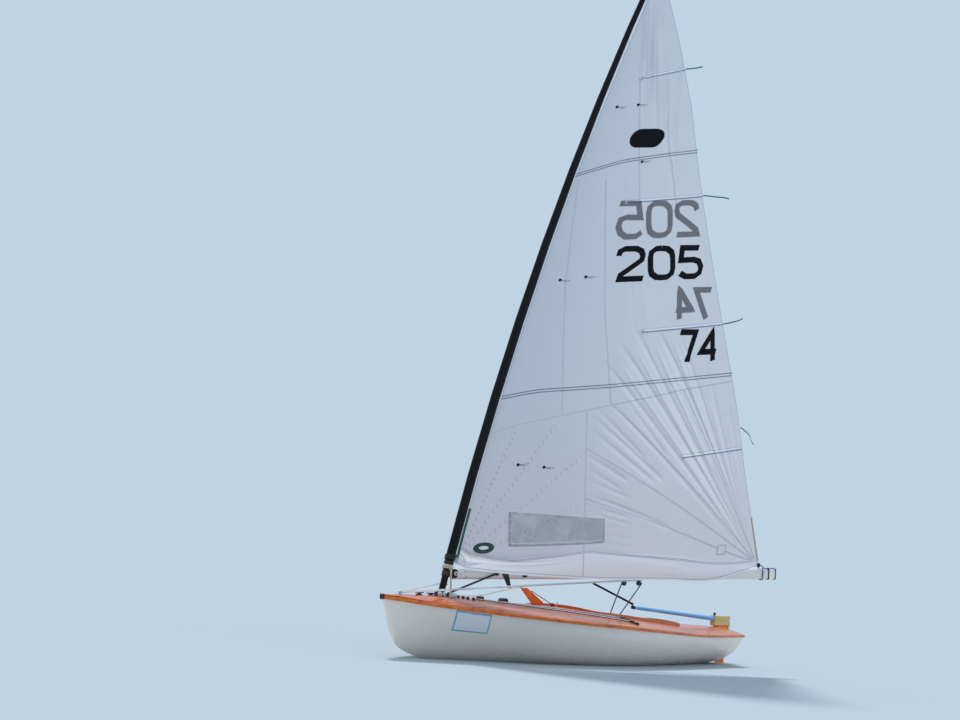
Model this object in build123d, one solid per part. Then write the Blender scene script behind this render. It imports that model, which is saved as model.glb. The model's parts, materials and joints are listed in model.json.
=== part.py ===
from build123d import *
import math
import os

# Wooden single-handed sailing dinghy, 5.0 m, with an unstayed rotating mast.
# Millimetres. X forward from the transom, Y to port, Z up from the static waterline.

# Hull lines, one row per station:
# keel x, sheer x, half beam at the sheer, sheer z, keel z, deadrise, flare, deck crown z
STATIONS = [
    (0, 0, 380, 296, 5, 8, 72, 352),
    (800, 800, 545, 300, -75, 8, 76, 376),
    (1600, 1600, 712, 334, -130, 9, 80, 428),
    (2400, 2400, 805, 373, -155, 10, 82, 482),
    (3200, 3200, 745, 410, -140, 14, 82, 512),
    (3850, 3950, 525, 450, -85, 22, 80, 540),
    (4420, 4550, 285, 491, 0, 35, 72, 553),
    (4800, 5000, 12, 533, 140, 72, 89, 540),
]
WALL = 12
DECK_T = 9
DECK_EDGE = 5
EDGE_LAND = 14
TRANSOM_T = 20
RAIL_DEPTH = 26
RAIL_DEPTH_AFT = 17
RAIL_OUT = 18
RAIL_GLUE = 0.1

# Cockpit
WELL_AFT = 950
WELL_FORE = 2500
WELL_HALF_AFT = 330
WELL_HALF_FORE = 430
WELL_R = 90
COAMING_T = 16
COAMING_H = 26
FRONT_BULKHEAD_X = 2560
AFT_BULKHEAD_X = 890
BULKHEAD_T = 12

# Centreboard
SLOT_HALF = 13
SLOT_AFT = 2600
SLOT_FORE = 3560
HULL_SLOT_AFT = 2640
HULL_SLOT_FORE = 3290
CASE_T = 18
BOARD_PIN = (3080, 0, -20)
BOARD_REST_DEG = 15
BOARD_LENGTH = 1050
BOARD_T = 14

# Mast: a straight lower part, then one circular bend
MAST_DECK = Vector(4208, 0, 569)
MAST_RAKE_DEG = 14.9
MAST_BEND_RADIUS = 32150
MAST_LENGTH = 6400
MAST_FOOT_S = -530
SWING_DEG = 20.1

# Boom
BOOM_FORE = Vector(4090, 12, 751)
BOOM_AFT = Vector(805, 1217, 936)
BOOM_DEPTH = 100
BOOM_WIDTH = 62


def save(name, shape):
    export_step(shape, f"parts/{name}.step")


def unit(v):
    return v * (1.0 / v.length)


def slab(x0, x1, y0, y1, z0, z1):
    """Box between two corners."""
    box = Box(x1 - x0, y1 - y0, z1 - z0)
    return Pos((x0 + x1) / 2, (y0 + y1) / 2, (z0 + z1) / 2) * box


def rod(a, b, radius):
    """Round bar from point a to point b."""
    a, b = Vector(*a), Vector(*b)
    plane = Plane(origin=a, z_dir=unit(b - a))
    return extrude(plane * Circle(radius), (b - a).length)


def biarc(p0, t0, p1, t1):
    """Joint of the two tangent arcs that run from p0 along t0 to p1 along t1."""
    v = p1 - p0
    s = t0 + t1
    a = 2 * (1 - t0.dot(t1))
    b = v.dot(s)
    d = (-b + math.sqrt(b * b + a * v.dot(v))) / a
    joint = (p0 + p1 + (t0 - t1) * d) * 0.5
    return joint


def section_edges(station, wall, rise):
    """Edges of one hull section, keel to sheer on both sides and straight across the top."""
    kx, sx, half, zs, zk, dead, flare, _ = station
    run = Vector(sx - kx, 0, zs - zk)
    up = unit(run)
    height = run.length
    plane = Plane(origin=(kx, 0, zk), x_dir=(0, 1, 0), z_dir=Vector(0, 1, 0).cross(up))
    t0 = Vector(math.cos(math.radians(dead)), math.sin(math.radians(dead)))
    t1 = Vector(math.cos(math.radians(flare)), math.sin(math.radians(flare)))
    p0 = Vector(0, wall / t0.X)
    p1 = Vector(half - wall / t1.Y, height)
    joint = biarc(p0, t0, p1, t1)
    first = TangentArc((p0.X, p0.Y), (joint.X, joint.Y), tangent=(t0.X, t0.Y))
    second = TangentArc((joint.X, joint.Y), (p1.X, p1.Y), tangent=first % 1)
    corner = (p1.X, p1.Y + rise)
    port = [first, second]
    if rise > 0:
        port.append(Line((p1.X, p1.Y), corner))
    star = [mirror(e, Plane.YZ) for e in port]
    top = Line(corner, (-corner[0], corner[1]))
    return plane, port + [top] + star


def hull_loft(stations, wall, rise, ruled=False):
    faces = []
    for station in stations:
        plane, edges = section_edges(station, wall, rise)
        faces.append(plane * make_face(edges))
    return loft(faces, ruled=ruled)


def crown_z(station, y, half):
    zs, zc = station[3], station[7]
    edge = zs + DECK_EDGE
    ratio = min(y / half, 1.1)
    return edge + (max(zc, edge + 2) - edge) * (1 - ratio ** 2)


def stretch(near, far, x):
    """Station values carried on in a straight line from far through near to sheer position x."""
    f = (x - far[1]) / (near[1] - far[1])
    values = [b + (a - b) * f for a, b in zip(near, far)]
    values[1] = x
    return tuple(values)


def crown_stations():
    """The stations with both ends carried past the hull, so that trims meet it cleanly."""
    first = stretch(STATIONS[0], halfway(0), -60)
    last = stretch(STATIONS[-1], STATIONS[-2], 5110)
    return [first, halfway(0)] + STATIONS[1:-1] + [last]


def crown_loft(inset, lift, bottom):
    """Crowned body under the deck surface: inset from the hull side, lifted, down to a bottom.

    bottom is a height over the sheer."""
    faces = []
    for station in crown_stations():
        half = max(station[2], 8)
        w = max(half - inset, 4)
        zs = station[3]
        edge = crown_z(station, w, half) + lift
        mid = crown_z(station, 0, half) + lift
        low = zs + bottom
        arc = ThreePointArc((-w, edge), (0, mid), (w, edge))
        side_p = Line((w, edge), (w, low))
        base = Line((w, low), (-w, low))
        side_s = Line((-w, low), (-w, edge))
        plane = Plane(origin=(station[1], 0, 0), x_dir=(0, 1, 0), z_dir=(1, 0, 0))
        faces.append(plane * make_face([arc, side_p, base, side_s]))
    return loft(faces)


def halfway(i):
    """Station halfway from station i to the next, on a smooth curve through its neighbours."""
    b, c = STATIONS[i], STATIONS[i + 1]
    a = STATIONS[i - 1] if i > 0 else stretch(b, c, 2 * b[1] - c[1])
    d = STATIONS[i + 2] if i + 2 < len(STATIONS) - 1 else stretch(c, b, 2 * c[1] - b[1])
    return tuple((9 * (q + r) - p - s) / 16 for p, q, r, s in zip(a, b, c, d))


def inner_stations():
    """Stations of the hollow inside, twice as many as outside and short of the stem."""
    stations = []
    for i in range(6):
        stations += [STATIONS[i], halfway(i)]
    return stations + [STATIONS[6]]


def well_outline(shrink):
    """Plan of the cockpit well: a taper with rounded corners, drawn in the ground plane."""
    a, f = WELL_AFT + shrink, WELL_FORE - shrink
    ha, hf = WELL_HALF_AFT - shrink, WELL_HALF_FORE - shrink
    face = make_face(Polyline((a, -ha), (a, ha), (f, hf), (f, -hf), close=True))
    return fillet(face.vertices(), WELL_R - shrink)


def prism(face, z0, z1):
    return extrude(Pos(0, 0, z0) * face, z1 - z0)


# Bodies that several pieces share
def above_sheer():
    """Everything above the sheer line seen from the side."""
    line = Spline([(station[1], station[3]) for station in STATIONS])
    end_a, end_b = (-300, 280), (5300, 560)
    first, last = (STATIONS[0][1], STATIONS[0][3]), (STATIONS[-1][1], STATIONS[-1][3])
    edges = [Line(end_a, first), line, Line(last, end_b), Line(end_b, (5300, 1500)),
             Line((5300, 1500), (-300, 1500)), Line((-300, 1500), end_a)]
    plane = Plane(origin=(0, 1300, 0), x_dir=(1, 0, 0), z_dir=(0, -1, 0))
    return extrude(plane * make_face(edges), 2600)


hull_stations = [STATIONS[0], halfway(0)] + STATIONS[1:]
outer = hull_loft(hull_stations, 0, 125)
rail_seat = hull_loft(hull_stations, -RAIL_GLUE, 125)
inner = hull_loft(inner_stations(), WALL, 150, True) - slab(-100, TRANSOM_T, -900, 900, -300, 900)
over_sheer = above_sheer()
crown_body = crown_loft(-40, 0, -600)
deck_block = outer & over_sheer & crown_body
under_block = crown_loft(EDGE_LAND, -DECK_T, -700)
well_cut = prism(well_outline(0), 200, 700)
mast_dir = Vector(-math.sin(math.radians(MAST_RAKE_DEG)), 0, math.cos(math.radians(MAST_RAKE_DEG)))


def mast_point(s):
    """Point on the mast axis s millimetres above the deck."""
    if s <= 0:
        return MAST_DECK + mast_dir * s
    b = math.radians(SWING_DEG)
    h = Vector(-math.cos(b), math.sin(b), 0)
    h = unit(h - mast_dir * h.dot(mast_dir))
    r = MAST_BEND_RADIUS
    return MAST_DECK + mast_dir * (r * math.sin(s / r)) + h * (r * (1 - math.cos(s / r)))


def mast_tangent(s):
    return unit(mast_point(s + 5) - mast_point(s - 5))


def boom_dir():
    return unit(BOOM_AFT - BOOM_FORE)


def make_hull_shell():
    shell = outer - inner - over_sheer
    slot = slab(HULL_SLOT_AFT, HULL_SLOT_FORE, -SLOT_HALF, SLOT_HALF, -260, 60)
    return shell - slot


def make_decks():
    deck = deck_block - under_block - well_cut
    slot = slab(SLOT_AFT, SLOT_FORE, -SLOT_HALF, SLOT_HALF, 300, 700)
    hole = rod(mast_point(-140), mast_point(60), 42)
    deck = deck - slot - hole
    big = 1200
    fore = deck & slab(WELL_FORE - 60, 5200, -big, big, 0, 900)
    aft = deck & slab(-50, WELL_AFT + 60, -big, big, 0, 900)
    port = deck & slab(WELL_AFT + 60, WELL_FORE - 60, 0, big, 0, 900)
    star = deck & slab(WELL_AFT + 60, WELL_FORE - 60, -big, 0, 0, 900)
    return fore, aft, port, star


def make_rail(side):
    """Rub rail along one sheer, trimmed to the planking less a thin line of glue."""
    faces = []
    for station in hull_stations:
        half, zs = station[2], station[3]
        y0, y1 = half - 8, half + RAIL_OUT
        plane = Plane(origin=(station[1], 0, 0), x_dir=(0, 1, 0), z_dir=(1, 0, 0))
        if station is STATIONS[-1]:
            y0, y1 = half - 6, half + 6
        full = min(1, station[1] / 2400)
        low = zs - (RAIL_DEPTH_AFT + (RAIL_DEPTH - RAIL_DEPTH_AFT) * full)
        pts = [(y0, low), (y1 - 6, low), (y1, low + 7), (y1, zs - 3), (y1 - 7, zs + 5), (y0, zs + 5)]
        face = make_face(Polyline(*[(side * y, z) for y, z in pts], close=True))
        faces.append(plane * face)
    return loft(faces) - rail_seat


rail_port = make_rail(1)
rail_star = make_rail(-1)


def make_coaming():
    block = crown_loft(EDGE_LAND, COAMING_H, -40)
    ring = prism(well_outline(0), 200, 700) - prism(well_outline(COAMING_T), 190, 710)
    return ring & block


def make_bulkhead(x):
    plate = slab(x, x + BULKHEAD_T, -1000, 1000, -300, 700)
    return plate & inner & under_block


def make_case():
    a, f = FRONT_BULKHEAD_X + BULKHEAD_T, SLOT_FORE + 30
    body = slab(a, f, -SLOT_HALF - CASE_T, SLOT_HALF + CASE_T, -300, 700)
    gap = slab(SLOT_AFT, SLOT_FORE, -SLOT_HALF, SLOT_HALF, -400, 800)
    pin = rod((BOARD_PIN[0], -SLOT_HALF - 2, BOARD_PIN[2]), (BOARD_PIN[0], SLOT_HALF + 2, BOARD_PIN[2]), 10)
    return ((body & inner & under_block) - gap) + pin


def make_floor():
    slat, gap = 88, 14
    floor = None
    a, f = AFT_BULKHEAD_X + BULKHEAD_T, FRONT_BULKHEAD_X
    for i in range(-4, 5):
        y = i * (slat + gap)
        board = slab(a, f, y - slat / 2, y + slat / 2, -40, -28) & inner
        floor = board if floor is None else floor + board
    for x in (1000, 1450, 1900, 2350):
        bearer = slab(x, x + 28, -480, 480, -260, -40) & inner
        floor = floor + bearer
    return floor


def make_strap(side):
    a, f = AFT_BULKHEAD_X + BULKHEAD_T, FRONT_BULKHEAD_X
    return slab(a, f, side * 190 - 25, side * 190 + 25, 72, 76)


def make_mast_step():
    top = mast_point(MAST_FOOT_S + 6)
    block = slab(top.X - 90, top.X + 70, -45, 45, -120, top.Z + 26) & inner
    bore = rod(mast_point(MAST_FOOT_S - 46), mast_point(MAST_FOOT_S + 80), 20.6)
    seat = rod(mast_point(MAST_FOOT_S), mast_point(MAST_FOOT_S + 90), 38)
    return block - bore - seat


def make_mast_collar():
    ring = rod(mast_point(-60), mast_point(8), 58)
    hole = rod(mast_point(-90), mast_point(60), 37)
    z = deck_z(4208, 0)
    return (ring - hole - deck_block) & slab(4100, 4320, -80, 80, z - 8, z + 60)


def make_stem_cap():
    cap = slab(4975, 5014, -20, 20, 505, 551)
    cap = fillet(cap.edges().filter_by(Axis.Y), 6)
    return cap - outer - rail_port - rail_star


def deck_z(x, y):
    """Deck height by straight-line interpolation between stations."""
    for a, b in zip(STATIONS, STATIONS[1:]):
        if a[1] <= x <= b[1]:
            f = (x - a[1]) / (b[1] - a[1])
            half = a[2] + (b[2] - a[2]) * f
            za, zb = crown_z(a, 0, 1), crown_z(b, 0, 1)
            edge = a[3] + (b[3] - a[3]) * f + DECK_EDGE
            return edge + (za + (zb - za) * f - edge) * (1 - (y / half) ** 2)
    return 0


def on_deck(shape):
    """Trim a fitting to the deck surface so that it stands on it."""
    return shape - deck_block


EYE_X = 4770
EYE_Z = 568


def make_bow_fairlead():
    x, z = EYE_X, EYE_Z
    base = slab(x - 35, x + 35, -22, 22, z - 34, z - 13)
    tab = slab(x - 13, x + 13, -5, 5, z - 22, z + 13)
    tab = fillet(tab.edges().filter_by(Axis.Y), 10)
    eye = rod((x, -20, z), (x, 20, z), 7)
    return on_deck((base + tab) - eye)


def make_deck_block():
    z = deck_z(3650, 0)
    return on_deck(slab(3630, 3670, -30, 30, z - 14, z + 30))


def make_deck_dome():
    z = deck_z(3390, 60)
    puck = Pos(3390, 60, z + 10) * Cylinder(46, 50)
    return on_deck(chamfer(puck.edges().group_by(Axis.Z)[-1], 14))


def make_cleat(x, y):
    z = deck_z(x, y)
    base = slab(x - 32, x + 32, y - 11, y + 11, z - 14, z + 9)
    horn = slab(x - 55, x + 55, y - 8, y + 8, z + 16, z + 26)
    horn = fillet(horn.edges().filter_by(Axis.Y), 4)
    post = slab(x - 16, x + 16, y - 8, y + 8, z, z + 20)
    return on_deck(base + post + horn)


def make_gudgeons():
    arms = None
    for z in (60, 270):
        arm = slab(-52, 0, -18, 18, z - 9, z + 9)
        arm = fillet(arm.edges().filter_by(Axis.Z).sort_by(Axis.X)[:2], 12)
        plate = slab(-5, 0, -26, 26, z - 26, z + 26)
        bit = arm + plate - rod((-36, 0, z - 30), (-36, 0, z + 30), 6.6)
        arms = bit if arms is None else arms + bit
    strap = slab(-5, 0, -10, 10, 60, 270)
    return arms + strap


def make_sheet_pedestal():
    base = Pos(1800, 0, -28 + 7) * Cylinder(70, 14)
    post = Pos(1800, 0, 60) * Cylinder(24, 150)
    head = slab(1775, 1825, -16, 16, 130, 185)
    return base + post + head


def mast_plane(s):
    b = math.radians(SWING_DEG)
    h = Vector(-math.cos(b), math.sin(b), 0)
    t = mast_tangent(s)
    x = unit(h - t * h.dot(t))
    return Plane(origin=mast_point(s), x_dir=x, z_dir=t)


# height over the deck, half chord, half width
MAST_SECTIONS = [
    (-460, 27, 27),
    (0, 29, 29),
    (200, 31, 31),
    (330, 44, 33),
    (2200, 44, 33),
    (4200, 36, 28),
    (6400, 24, 20),
]
MAST_STEP_LENGTH = 760


def mast_size(s):
    """Half chord and half width of the spar at height s."""
    for a, b in zip(MAST_SECTIONS, MAST_SECTIONS[1:]):
        if s <= b[0]:
            f = (s - a[0]) / (b[0] - a[0])
            return a[1] + (b[1] - a[1]) * f, a[2] + (b[2] - a[2]) * f
    return MAST_SECTIONS[-1][1:]


def make_mast():
    heights = [-460, 0, 200, 330]
    count = math.ceil((MAST_LENGTH - 330) / MAST_STEP_LENGTH)
    heights += [330 + (MAST_LENGTH - 330) * (i + 1) / count for i in range(count)]
    faces = []
    for s in heights:
        a, b = mast_size(s)
        faces.append(mast_plane(s) * Ellipse(a, b))
    spar = loft(faces, ruled=True)
    foot = rod(mast_point(MAST_FOOT_S + 1), mast_point(-455), 34)
    pin = rod(mast_point(MAST_FOOT_S - 40), mast_point(MAST_FOOT_S + 5), 20)
    cap = rod(mast_point(MAST_LENGTH - 5), mast_point(MAST_LENGTH + 12), 21)
    return spar + foot + pin + cap


def boom_plane(s):
    d = boom_dir()
    side = unit(Vector(0, 0, 1).cross(d))
    return Plane(origin=BOOM_FORE + d * s, x_dir=side, z_dir=d)


BOOM_LENGTH = (BOOM_AFT - BOOM_FORE).length


def make_boom():
    face = RectangleRounded(BOOM_WIDTH, BOOM_DEPTH, 29)
    return extrude(boom_plane(0) * face, BOOM_LENGTH - 100)


def make_boom_end():
    band = extrude(boom_plane(BOOM_LENGTH - 100) * RectangleRounded(BOOM_WIDTH + 3, BOOM_DEPTH + 3, 29), 22)
    end = extrude(boom_plane(BOOM_LENGTH - 78) * RectangleRounded(BOOM_WIDTH, BOOM_DEPTH, 29), 66)
    cap = extrude(boom_plane(BOOM_LENGTH - 12) * RectangleRounded(BOOM_WIDTH - 4, BOOM_DEPTH - 4, 27), 12)
    return band + end + cap


mast = make_mast()
boom = make_boom()


def make_gooseneck():
    s = 186
    mast_hole = rod(mast_point(s - 60), mast_point(s + 60), 30)
    ring = rod(mast_point(s - 22), mast_point(s + 22), 38)
    start = mast_point(s)
    tongue = rod((start.X, start.Y, start.Z), (BOOM_FORE.X, BOOM_FORE.Y, BOOM_FORE.Z), 14)
    plate = extrude(boom_plane(-8) * RectangleRounded(BOOM_WIDTH - 8, BOOM_DEPTH - 8, 24), 8)
    solid = ring + tongue + plate
    return solid - mast_hole - mast - boom


LUFF_FOOT_S = 288
LUFF_HEAD_S = 6280
SAIL_T = 3
LUFF_INSET = 25
# chord from the mast axis at even fractions of the luff
SAIL_CHORDS = [3369, 2990, 2624, 2210, 1798, 1396, 1014, 569, 90]
TWIST_DEG = 6
CAMBER = 0.07
FOOT_DROP = 125


def sail_section(i):
    """Closed thin face of the sail at one of the even heights."""
    f = i / (len(SAIL_CHORDS) - 1)
    s = LUFF_FOOT_S + (LUFF_HEAD_S - LUFF_FOOT_S) * f
    base = mast_point(s)
    angle = math.radians(SWING_DEG + TWIST_DEG * f)
    d = unit(Vector(-math.cos(angle), math.sin(angle), 0.045 * (1 - f) + 0.16 * f))
    side = Vector(math.sin(angle), math.cos(angle), 0)
    start = base + d * LUFF_INSET
    end = base + d * SAIL_CHORDS[i]
    run = SAIL_CHORDS[i] - LUFF_INSET
    bulge = side * (CAMBER * run)
    if i == 0:
        bulge = bulge - Vector(0, 0, FOOT_DROP)
    mid = start + d * (0.48 * run) + bulge
    t = unit(bulge) * SAIL_T
    outside = ThreePointArc(start, mid, end)
    leech = Line(end, end - t)
    inside = ThreePointArc(end - t, mid - t, start - t)
    luff = Line(start - t, start)
    return make_face([outside, leech, inside, luff])


def make_sail():
    return loft([sail_section(i) for i in range(len(SAIL_CHORDS))], ruled=True) - mast


def make_sheet_blocks():
    out = None
    for s in (1830, 1990):
        a = BOOM_FORE + boom_dir() * s - Vector(0, 0, BOOM_DEPTH / 2)
        strap = slab(a.X - 9, a.X + 9, a.Y - 5, a.Y + 5, a.Z - 14, a.Z + 1)
        wheel = rod((a.X, a.Y - 11, a.Z - 34), (a.X, a.Y + 11, a.Z - 34), 24)
        bit = strap + wheel
        out = bit if out is None else out + bit
    bar_a = BOOM_FORE + boom_dir() * 1800 - Vector(0, 0, BOOM_DEPTH / 2 + 1)
    bar_b = BOOM_FORE + boom_dir() * 2020 - Vector(0, 0, BOOM_DEPTH / 2 + 1)
    bar = rod((bar_a.X, bar_a.Y, bar_a.Z), (bar_b.X, bar_b.Y, bar_b.Z), 5)
    return (out + bar) - boom


# Rudder and tiller
PINTLE_X = -36
CHEEK_IN = 16
CHEEK_T = 12
BLADE_PIN = (-165, 0, 130)


HEAD_AFT = -262
HEAD_FORE = -4
HEAD_LOW = 361
HEAD_TOP = 457
HEAD_GAP = (408, 414)
HEAD_HALF = 28


def rounded_bar(z0, z1):
    """Painted bar across the top of the rudder, with rounded long edges."""
    bar = slab(HEAD_AFT, HEAD_FORE, -HEAD_HALF, HEAD_HALF, z0, z1)
    return fillet(bar.edges().filter_by(Axis.X), 11)


def make_rudder_head():
    """Two painted bars, one over the other, that clamp the tiller."""
    upper = rounded_bar(HEAD_GAP[1], HEAD_TOP)
    lower = rounded_bar(HEAD_LOW, HEAD_GAP[0])
    web = slab(HEAD_AFT + 8, HEAD_FORE - 8, 8 - HEAD_HALF, HEAD_HALF - 8, HEAD_GAP[0] - 12, HEAD_GAP[1] + 12)
    return upper + lower + web - make_tiller()


def make_rudder_cheeks():
    """Varnished side plates under the head, with a front post that carries the pintles."""
    pts = [(-58, 40), (-58, HEAD_LOW), (-250, HEAD_LOW), (-228, 60), (-190, 40)]
    face = make_face(Polyline(*pts, close=True))
    plane = Plane(origin=(0, 0, 0), x_dir=(1, 0, 0), z_dir=(0, -1, 0))
    out = slab(-78, -58, -CHEEK_IN, CHEEK_IN, 40, HEAD_LOW)
    for y in (CHEEK_IN + CHEEK_T, -CHEEK_IN):
        out = out + extrude(Pos(0, y, 0) * (plane * face), CHEEK_T)
    reach = CHEEK_IN + CHEEK_T + 4
    pin = rod((BLADE_PIN[0], -reach, BLADE_PIN[2]), (BLADE_PIN[0], reach, BLADE_PIN[2]), 8)
    return out + pin


def make_pintle(z):
    pin = rod((PINTLE_X, 0, z - 20), (PINTLE_X, 0, z + 34), 6)
    arm = slab(-58, PINTLE_X + 8, -14, 14, z + 16, z + 34)
    return pin + arm


TILLER_AFT = (-228, 0, 414)
TILLER_FORE = (1310, 0, 508)
EXT_AFT = (1358, -6, 548)
EXT_FORE = (1850, -100, 715)


TILLER_R_AFT = 22
TILLER_R_FORE = 16.5


def tiller_cone(a, b):
    """The tiller's taper between two points on its axis."""
    length = TILLER_FORE[0] - TILLER_AFT[0]
    radii = [TILLER_R_AFT + (TILLER_R_FORE - TILLER_R_AFT) * (p[0] - TILLER_AFT[0]) / length for p in (a, b)]
    run = unit(Vector(*b) - Vector(*a))
    ends = [Plane(origin=p, z_dir=run) * Circle(r) for p, r in zip((a, b), radii)]
    return loft(ends, ruled=True)


def make_tiller():
    return tiller_cone(TILLER_AFT, TILLER_FORE)


def make_tiller_joint():
    cap = rod(TILLER_FORE, (1338, 0, 509.7), 17)
    run = unit(Vector(*EXT_FORE) - Vector(*EXT_AFT))
    back = Vector(*EXT_AFT) - run * 26
    post = rod((1330, 0, 505), tuple(back + run * 8), 8)
    collar = rod(tuple(back), EXT_AFT, 12)
    return (cap + post + collar) - make_tiller()


def make_extension():
    return rod(EXT_AFT, EXT_FORE, 10)


def make_rudder_blade():
    pts = [(-105, 40), (-98, 130), (-232, 130), (-228, 40), (-290, -480), (-245, -620), (-165, -640), (-112, -300)]
    face = make_face(Polyline(*pts, close=True)) + Pos(BLADE_PIN[0], BLADE_PIN[2]) * Circle(67)
    plane = Plane(origin=(0, 10, 0), x_dir=(1, 0, 0), z_dir=(0, -1, 0))
    blade = extrude(plane * face, 20)
    hole = rod((BLADE_PIN[0], -20, BLADE_PIN[2]), (BLADE_PIN[0], 20, BLADE_PIN[2]), 9)
    return blade - hole


def make_centreboard():
    px, _, pz = BOARD_PIN
    a = math.radians(BOARD_REST_DEG)
    down = (-math.sin(a), -math.cos(a))
    fwd = (math.cos(a), -math.sin(a))

    def at(along, across):
        return (px + down[0] * along + fwd[0] * across, pz + down[1] * along + fwd[1] * across)

    blade = make_face(Polyline(at(-120, -150), at(-120, 110), at(0, 150), at(250, 150), at(900, 90), at(1050, 0),
                               at(1050, -110), at(250, -150), close=True))
    lever = make_face(Polyline((2925, 100), (3080, 100), (2935, 455), (2893, 513), (3069, 648),
                               (2987, 652), (2736, 527), (2734, 517), (2850, 455), close=True))
    plane = Plane(origin=(0, BOARD_T / 2, 0), x_dir=(1, 0, 0), z_dir=(0, -1, 0))
    board = extrude(plane * blade, BOARD_T) + extrude(plane * lever, BOARD_T)
    hole = rod((px, -20, pz), (px, 20, pz), 11)
    return board - hole


if __name__ == "__main__":
    os.makedirs("parts", exist_ok=True)
    save("hull_shell", make_hull_shell())
    fore, aft, port, star = make_decks()
    save("foredeck", fore)
    save("aft_deck", aft)
    save("side_deck_port", port)
    save("side_deck_starboard", star)
    save("rub_rail_port", rail_port)
    save("rub_rail_starboard", rail_star)
    save("coaming", make_coaming())
    save("front_bulkhead", make_bulkhead(FRONT_BULKHEAD_X))
    save("aft_bulkhead", make_bulkhead(AFT_BULKHEAD_X))
    save("centreboard_case", make_case())
    save("floor_boards", make_floor())
    save("toe_strap_port", make_strap(1))
    save("toe_strap_starboard", make_strap(-1))
    save("mast_step", make_mast_step())
    save("mast_collar", make_mast_collar())
    save("stem_cap", make_stem_cap())
    save("bow_fairlead", make_bow_fairlead())
    save("deck_block", make_deck_block())
    save("deck_dome", make_deck_dome())
    save("cleat_fore", make_cleat(4509, 0))
    save("cleat_mast", make_cleat(4345, 0))
    save("transom_gudgeons", make_gudgeons())
    save("sheet_pedestal", make_sheet_pedestal())
    save("mast", mast)
    save("boom", boom)
    save("boom_end", make_boom_end())
    save("gooseneck", make_gooseneck())
    save("sail", make_sail())
    save("sheet_blocks", make_sheet_blocks())
    save("rudder_head", make_rudder_head())
    save("rudder_cheeks", make_rudder_cheeks())
    save("pintle_lower", make_pintle(60))
    save("pintle_upper", make_pintle(270))
    save("tiller", make_tiller())
    save("tiller_joint", make_tiller_joint())
    save("tiller_extension", make_extension())
    save("rudder_blade", make_rudder_blade())
    save("centreboard", make_centreboard())
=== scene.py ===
import json
import math

import bmesh
import bpy
import numpy as np
from mathutils import Matrix, Vector
from mathutils.bvhtree import BVHTree


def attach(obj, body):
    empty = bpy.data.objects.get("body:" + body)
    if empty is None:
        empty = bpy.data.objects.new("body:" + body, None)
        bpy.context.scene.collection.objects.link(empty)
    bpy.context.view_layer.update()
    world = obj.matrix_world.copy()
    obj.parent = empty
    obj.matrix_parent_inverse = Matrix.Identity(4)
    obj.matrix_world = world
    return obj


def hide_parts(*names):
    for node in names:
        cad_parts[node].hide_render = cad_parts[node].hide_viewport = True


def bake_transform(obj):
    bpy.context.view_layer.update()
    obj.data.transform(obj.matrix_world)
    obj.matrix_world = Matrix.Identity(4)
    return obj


# A wooden single-handed sailing dinghy under sail.
# Metres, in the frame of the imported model: X forward, Y to port, Z up from the waterline.

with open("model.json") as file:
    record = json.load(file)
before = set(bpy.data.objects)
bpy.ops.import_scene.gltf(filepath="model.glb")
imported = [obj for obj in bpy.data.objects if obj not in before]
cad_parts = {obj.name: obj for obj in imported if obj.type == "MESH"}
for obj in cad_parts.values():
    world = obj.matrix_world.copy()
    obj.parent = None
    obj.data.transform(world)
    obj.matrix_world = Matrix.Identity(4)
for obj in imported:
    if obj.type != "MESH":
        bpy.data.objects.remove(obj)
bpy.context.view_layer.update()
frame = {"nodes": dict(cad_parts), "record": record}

# Camera
CAMERA_AT = Vector((27.9699, 19.3881, 1.6058))
CAMERA_AIM = Vector((3.0265, -0.7215, 2.6977))
CAMERA_ROLL_DEG = 4.5623
CAMERA_LENS = 130.25

# Light
SKY_COLOR = (0.53, 0.655, 0.775)
HORIZON_LIGHT = (0.32, 0.39, 0.48)
ZENITH_LIGHT = (0.72, 0.84, 1.00)
SUN_COLOR = (0.97, 0.97, 0.97)
SUN_POWER = 2.2
SUN_WIDTH = math.radians(9)
SUN_FROM = Vector((-0.30, -0.48, 0.82)).normalized()
FLOOR_BOUNCE = (0.60, 0.60, 0.59)
FLOOR_SIZE = 400

# Mast axis: straight below the deck point, then one circular bend
MAST_DECK = np.array([4.208, 0.0, 0.569])
MAST_RAKE = math.radians(14.9)
MAST_BEND_RADIUS = 32.15
SWING = math.radians(20.1)
MAST_DIR = np.array([-math.sin(MAST_RAKE), 0.0, math.cos(MAST_RAKE)])

# Sail
LUFF_FOOT = 0.288
LUFF_HEAD = 6.28
LUFF_INSET = 0.045
TWIST = math.radians(6)
CAMBER = 0.07
# Below 1 the deepest camber lies forward of the middle of the chord
DRAFT_POWER = 0.87
# Rise of the chord on its way aft, at the foot and at the head
FOOT_SLOPE, HEAD_SLOPE = 0.045, 0.16
FOOT_DROP = 0.125
# Extra hang of the cloth just aft of the tack and before the clew
TACK_SAG = 0.045
CLEW_SAG = 0.064
LEECH_CHORDS = (3.369, 2.990, 2.624, 2.210, 1.798, 1.396, 1.014, 0.569, 0.090)
LUFF = LUFF_HEAD - LUFF_FOOT

# Boom
BOOM_FORE = Vector((4.090, 0.012, 0.751))
BOOM_AFT = Vector((0.805, 1.217, 0.936))


# Helpers for meshes

def new_object(name, mesh, finish, body=None):
    """Object in the scene. A finish that names a record slot gives the material of that slot."""
    obj = bpy.data.objects.new(name, mesh)
    bpy.context.scene.collection.objects.link(obj)
    mesh.materials.append(MATERIALS[finish] if isinstance(finish, str) else finish)
    if body is not None:
        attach(obj, body)
    return obj


def mesh_from(name, verts, faces, smooth=True):
    mesh = bpy.data.meshes.new(name)
    mesh.from_pydata([tuple(v) for v in verts], [], faces)
    mesh.validate()
    for polygon in mesh.polygons:
        polygon.use_smooth = smooth
    mesh.update()
    return mesh


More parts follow.
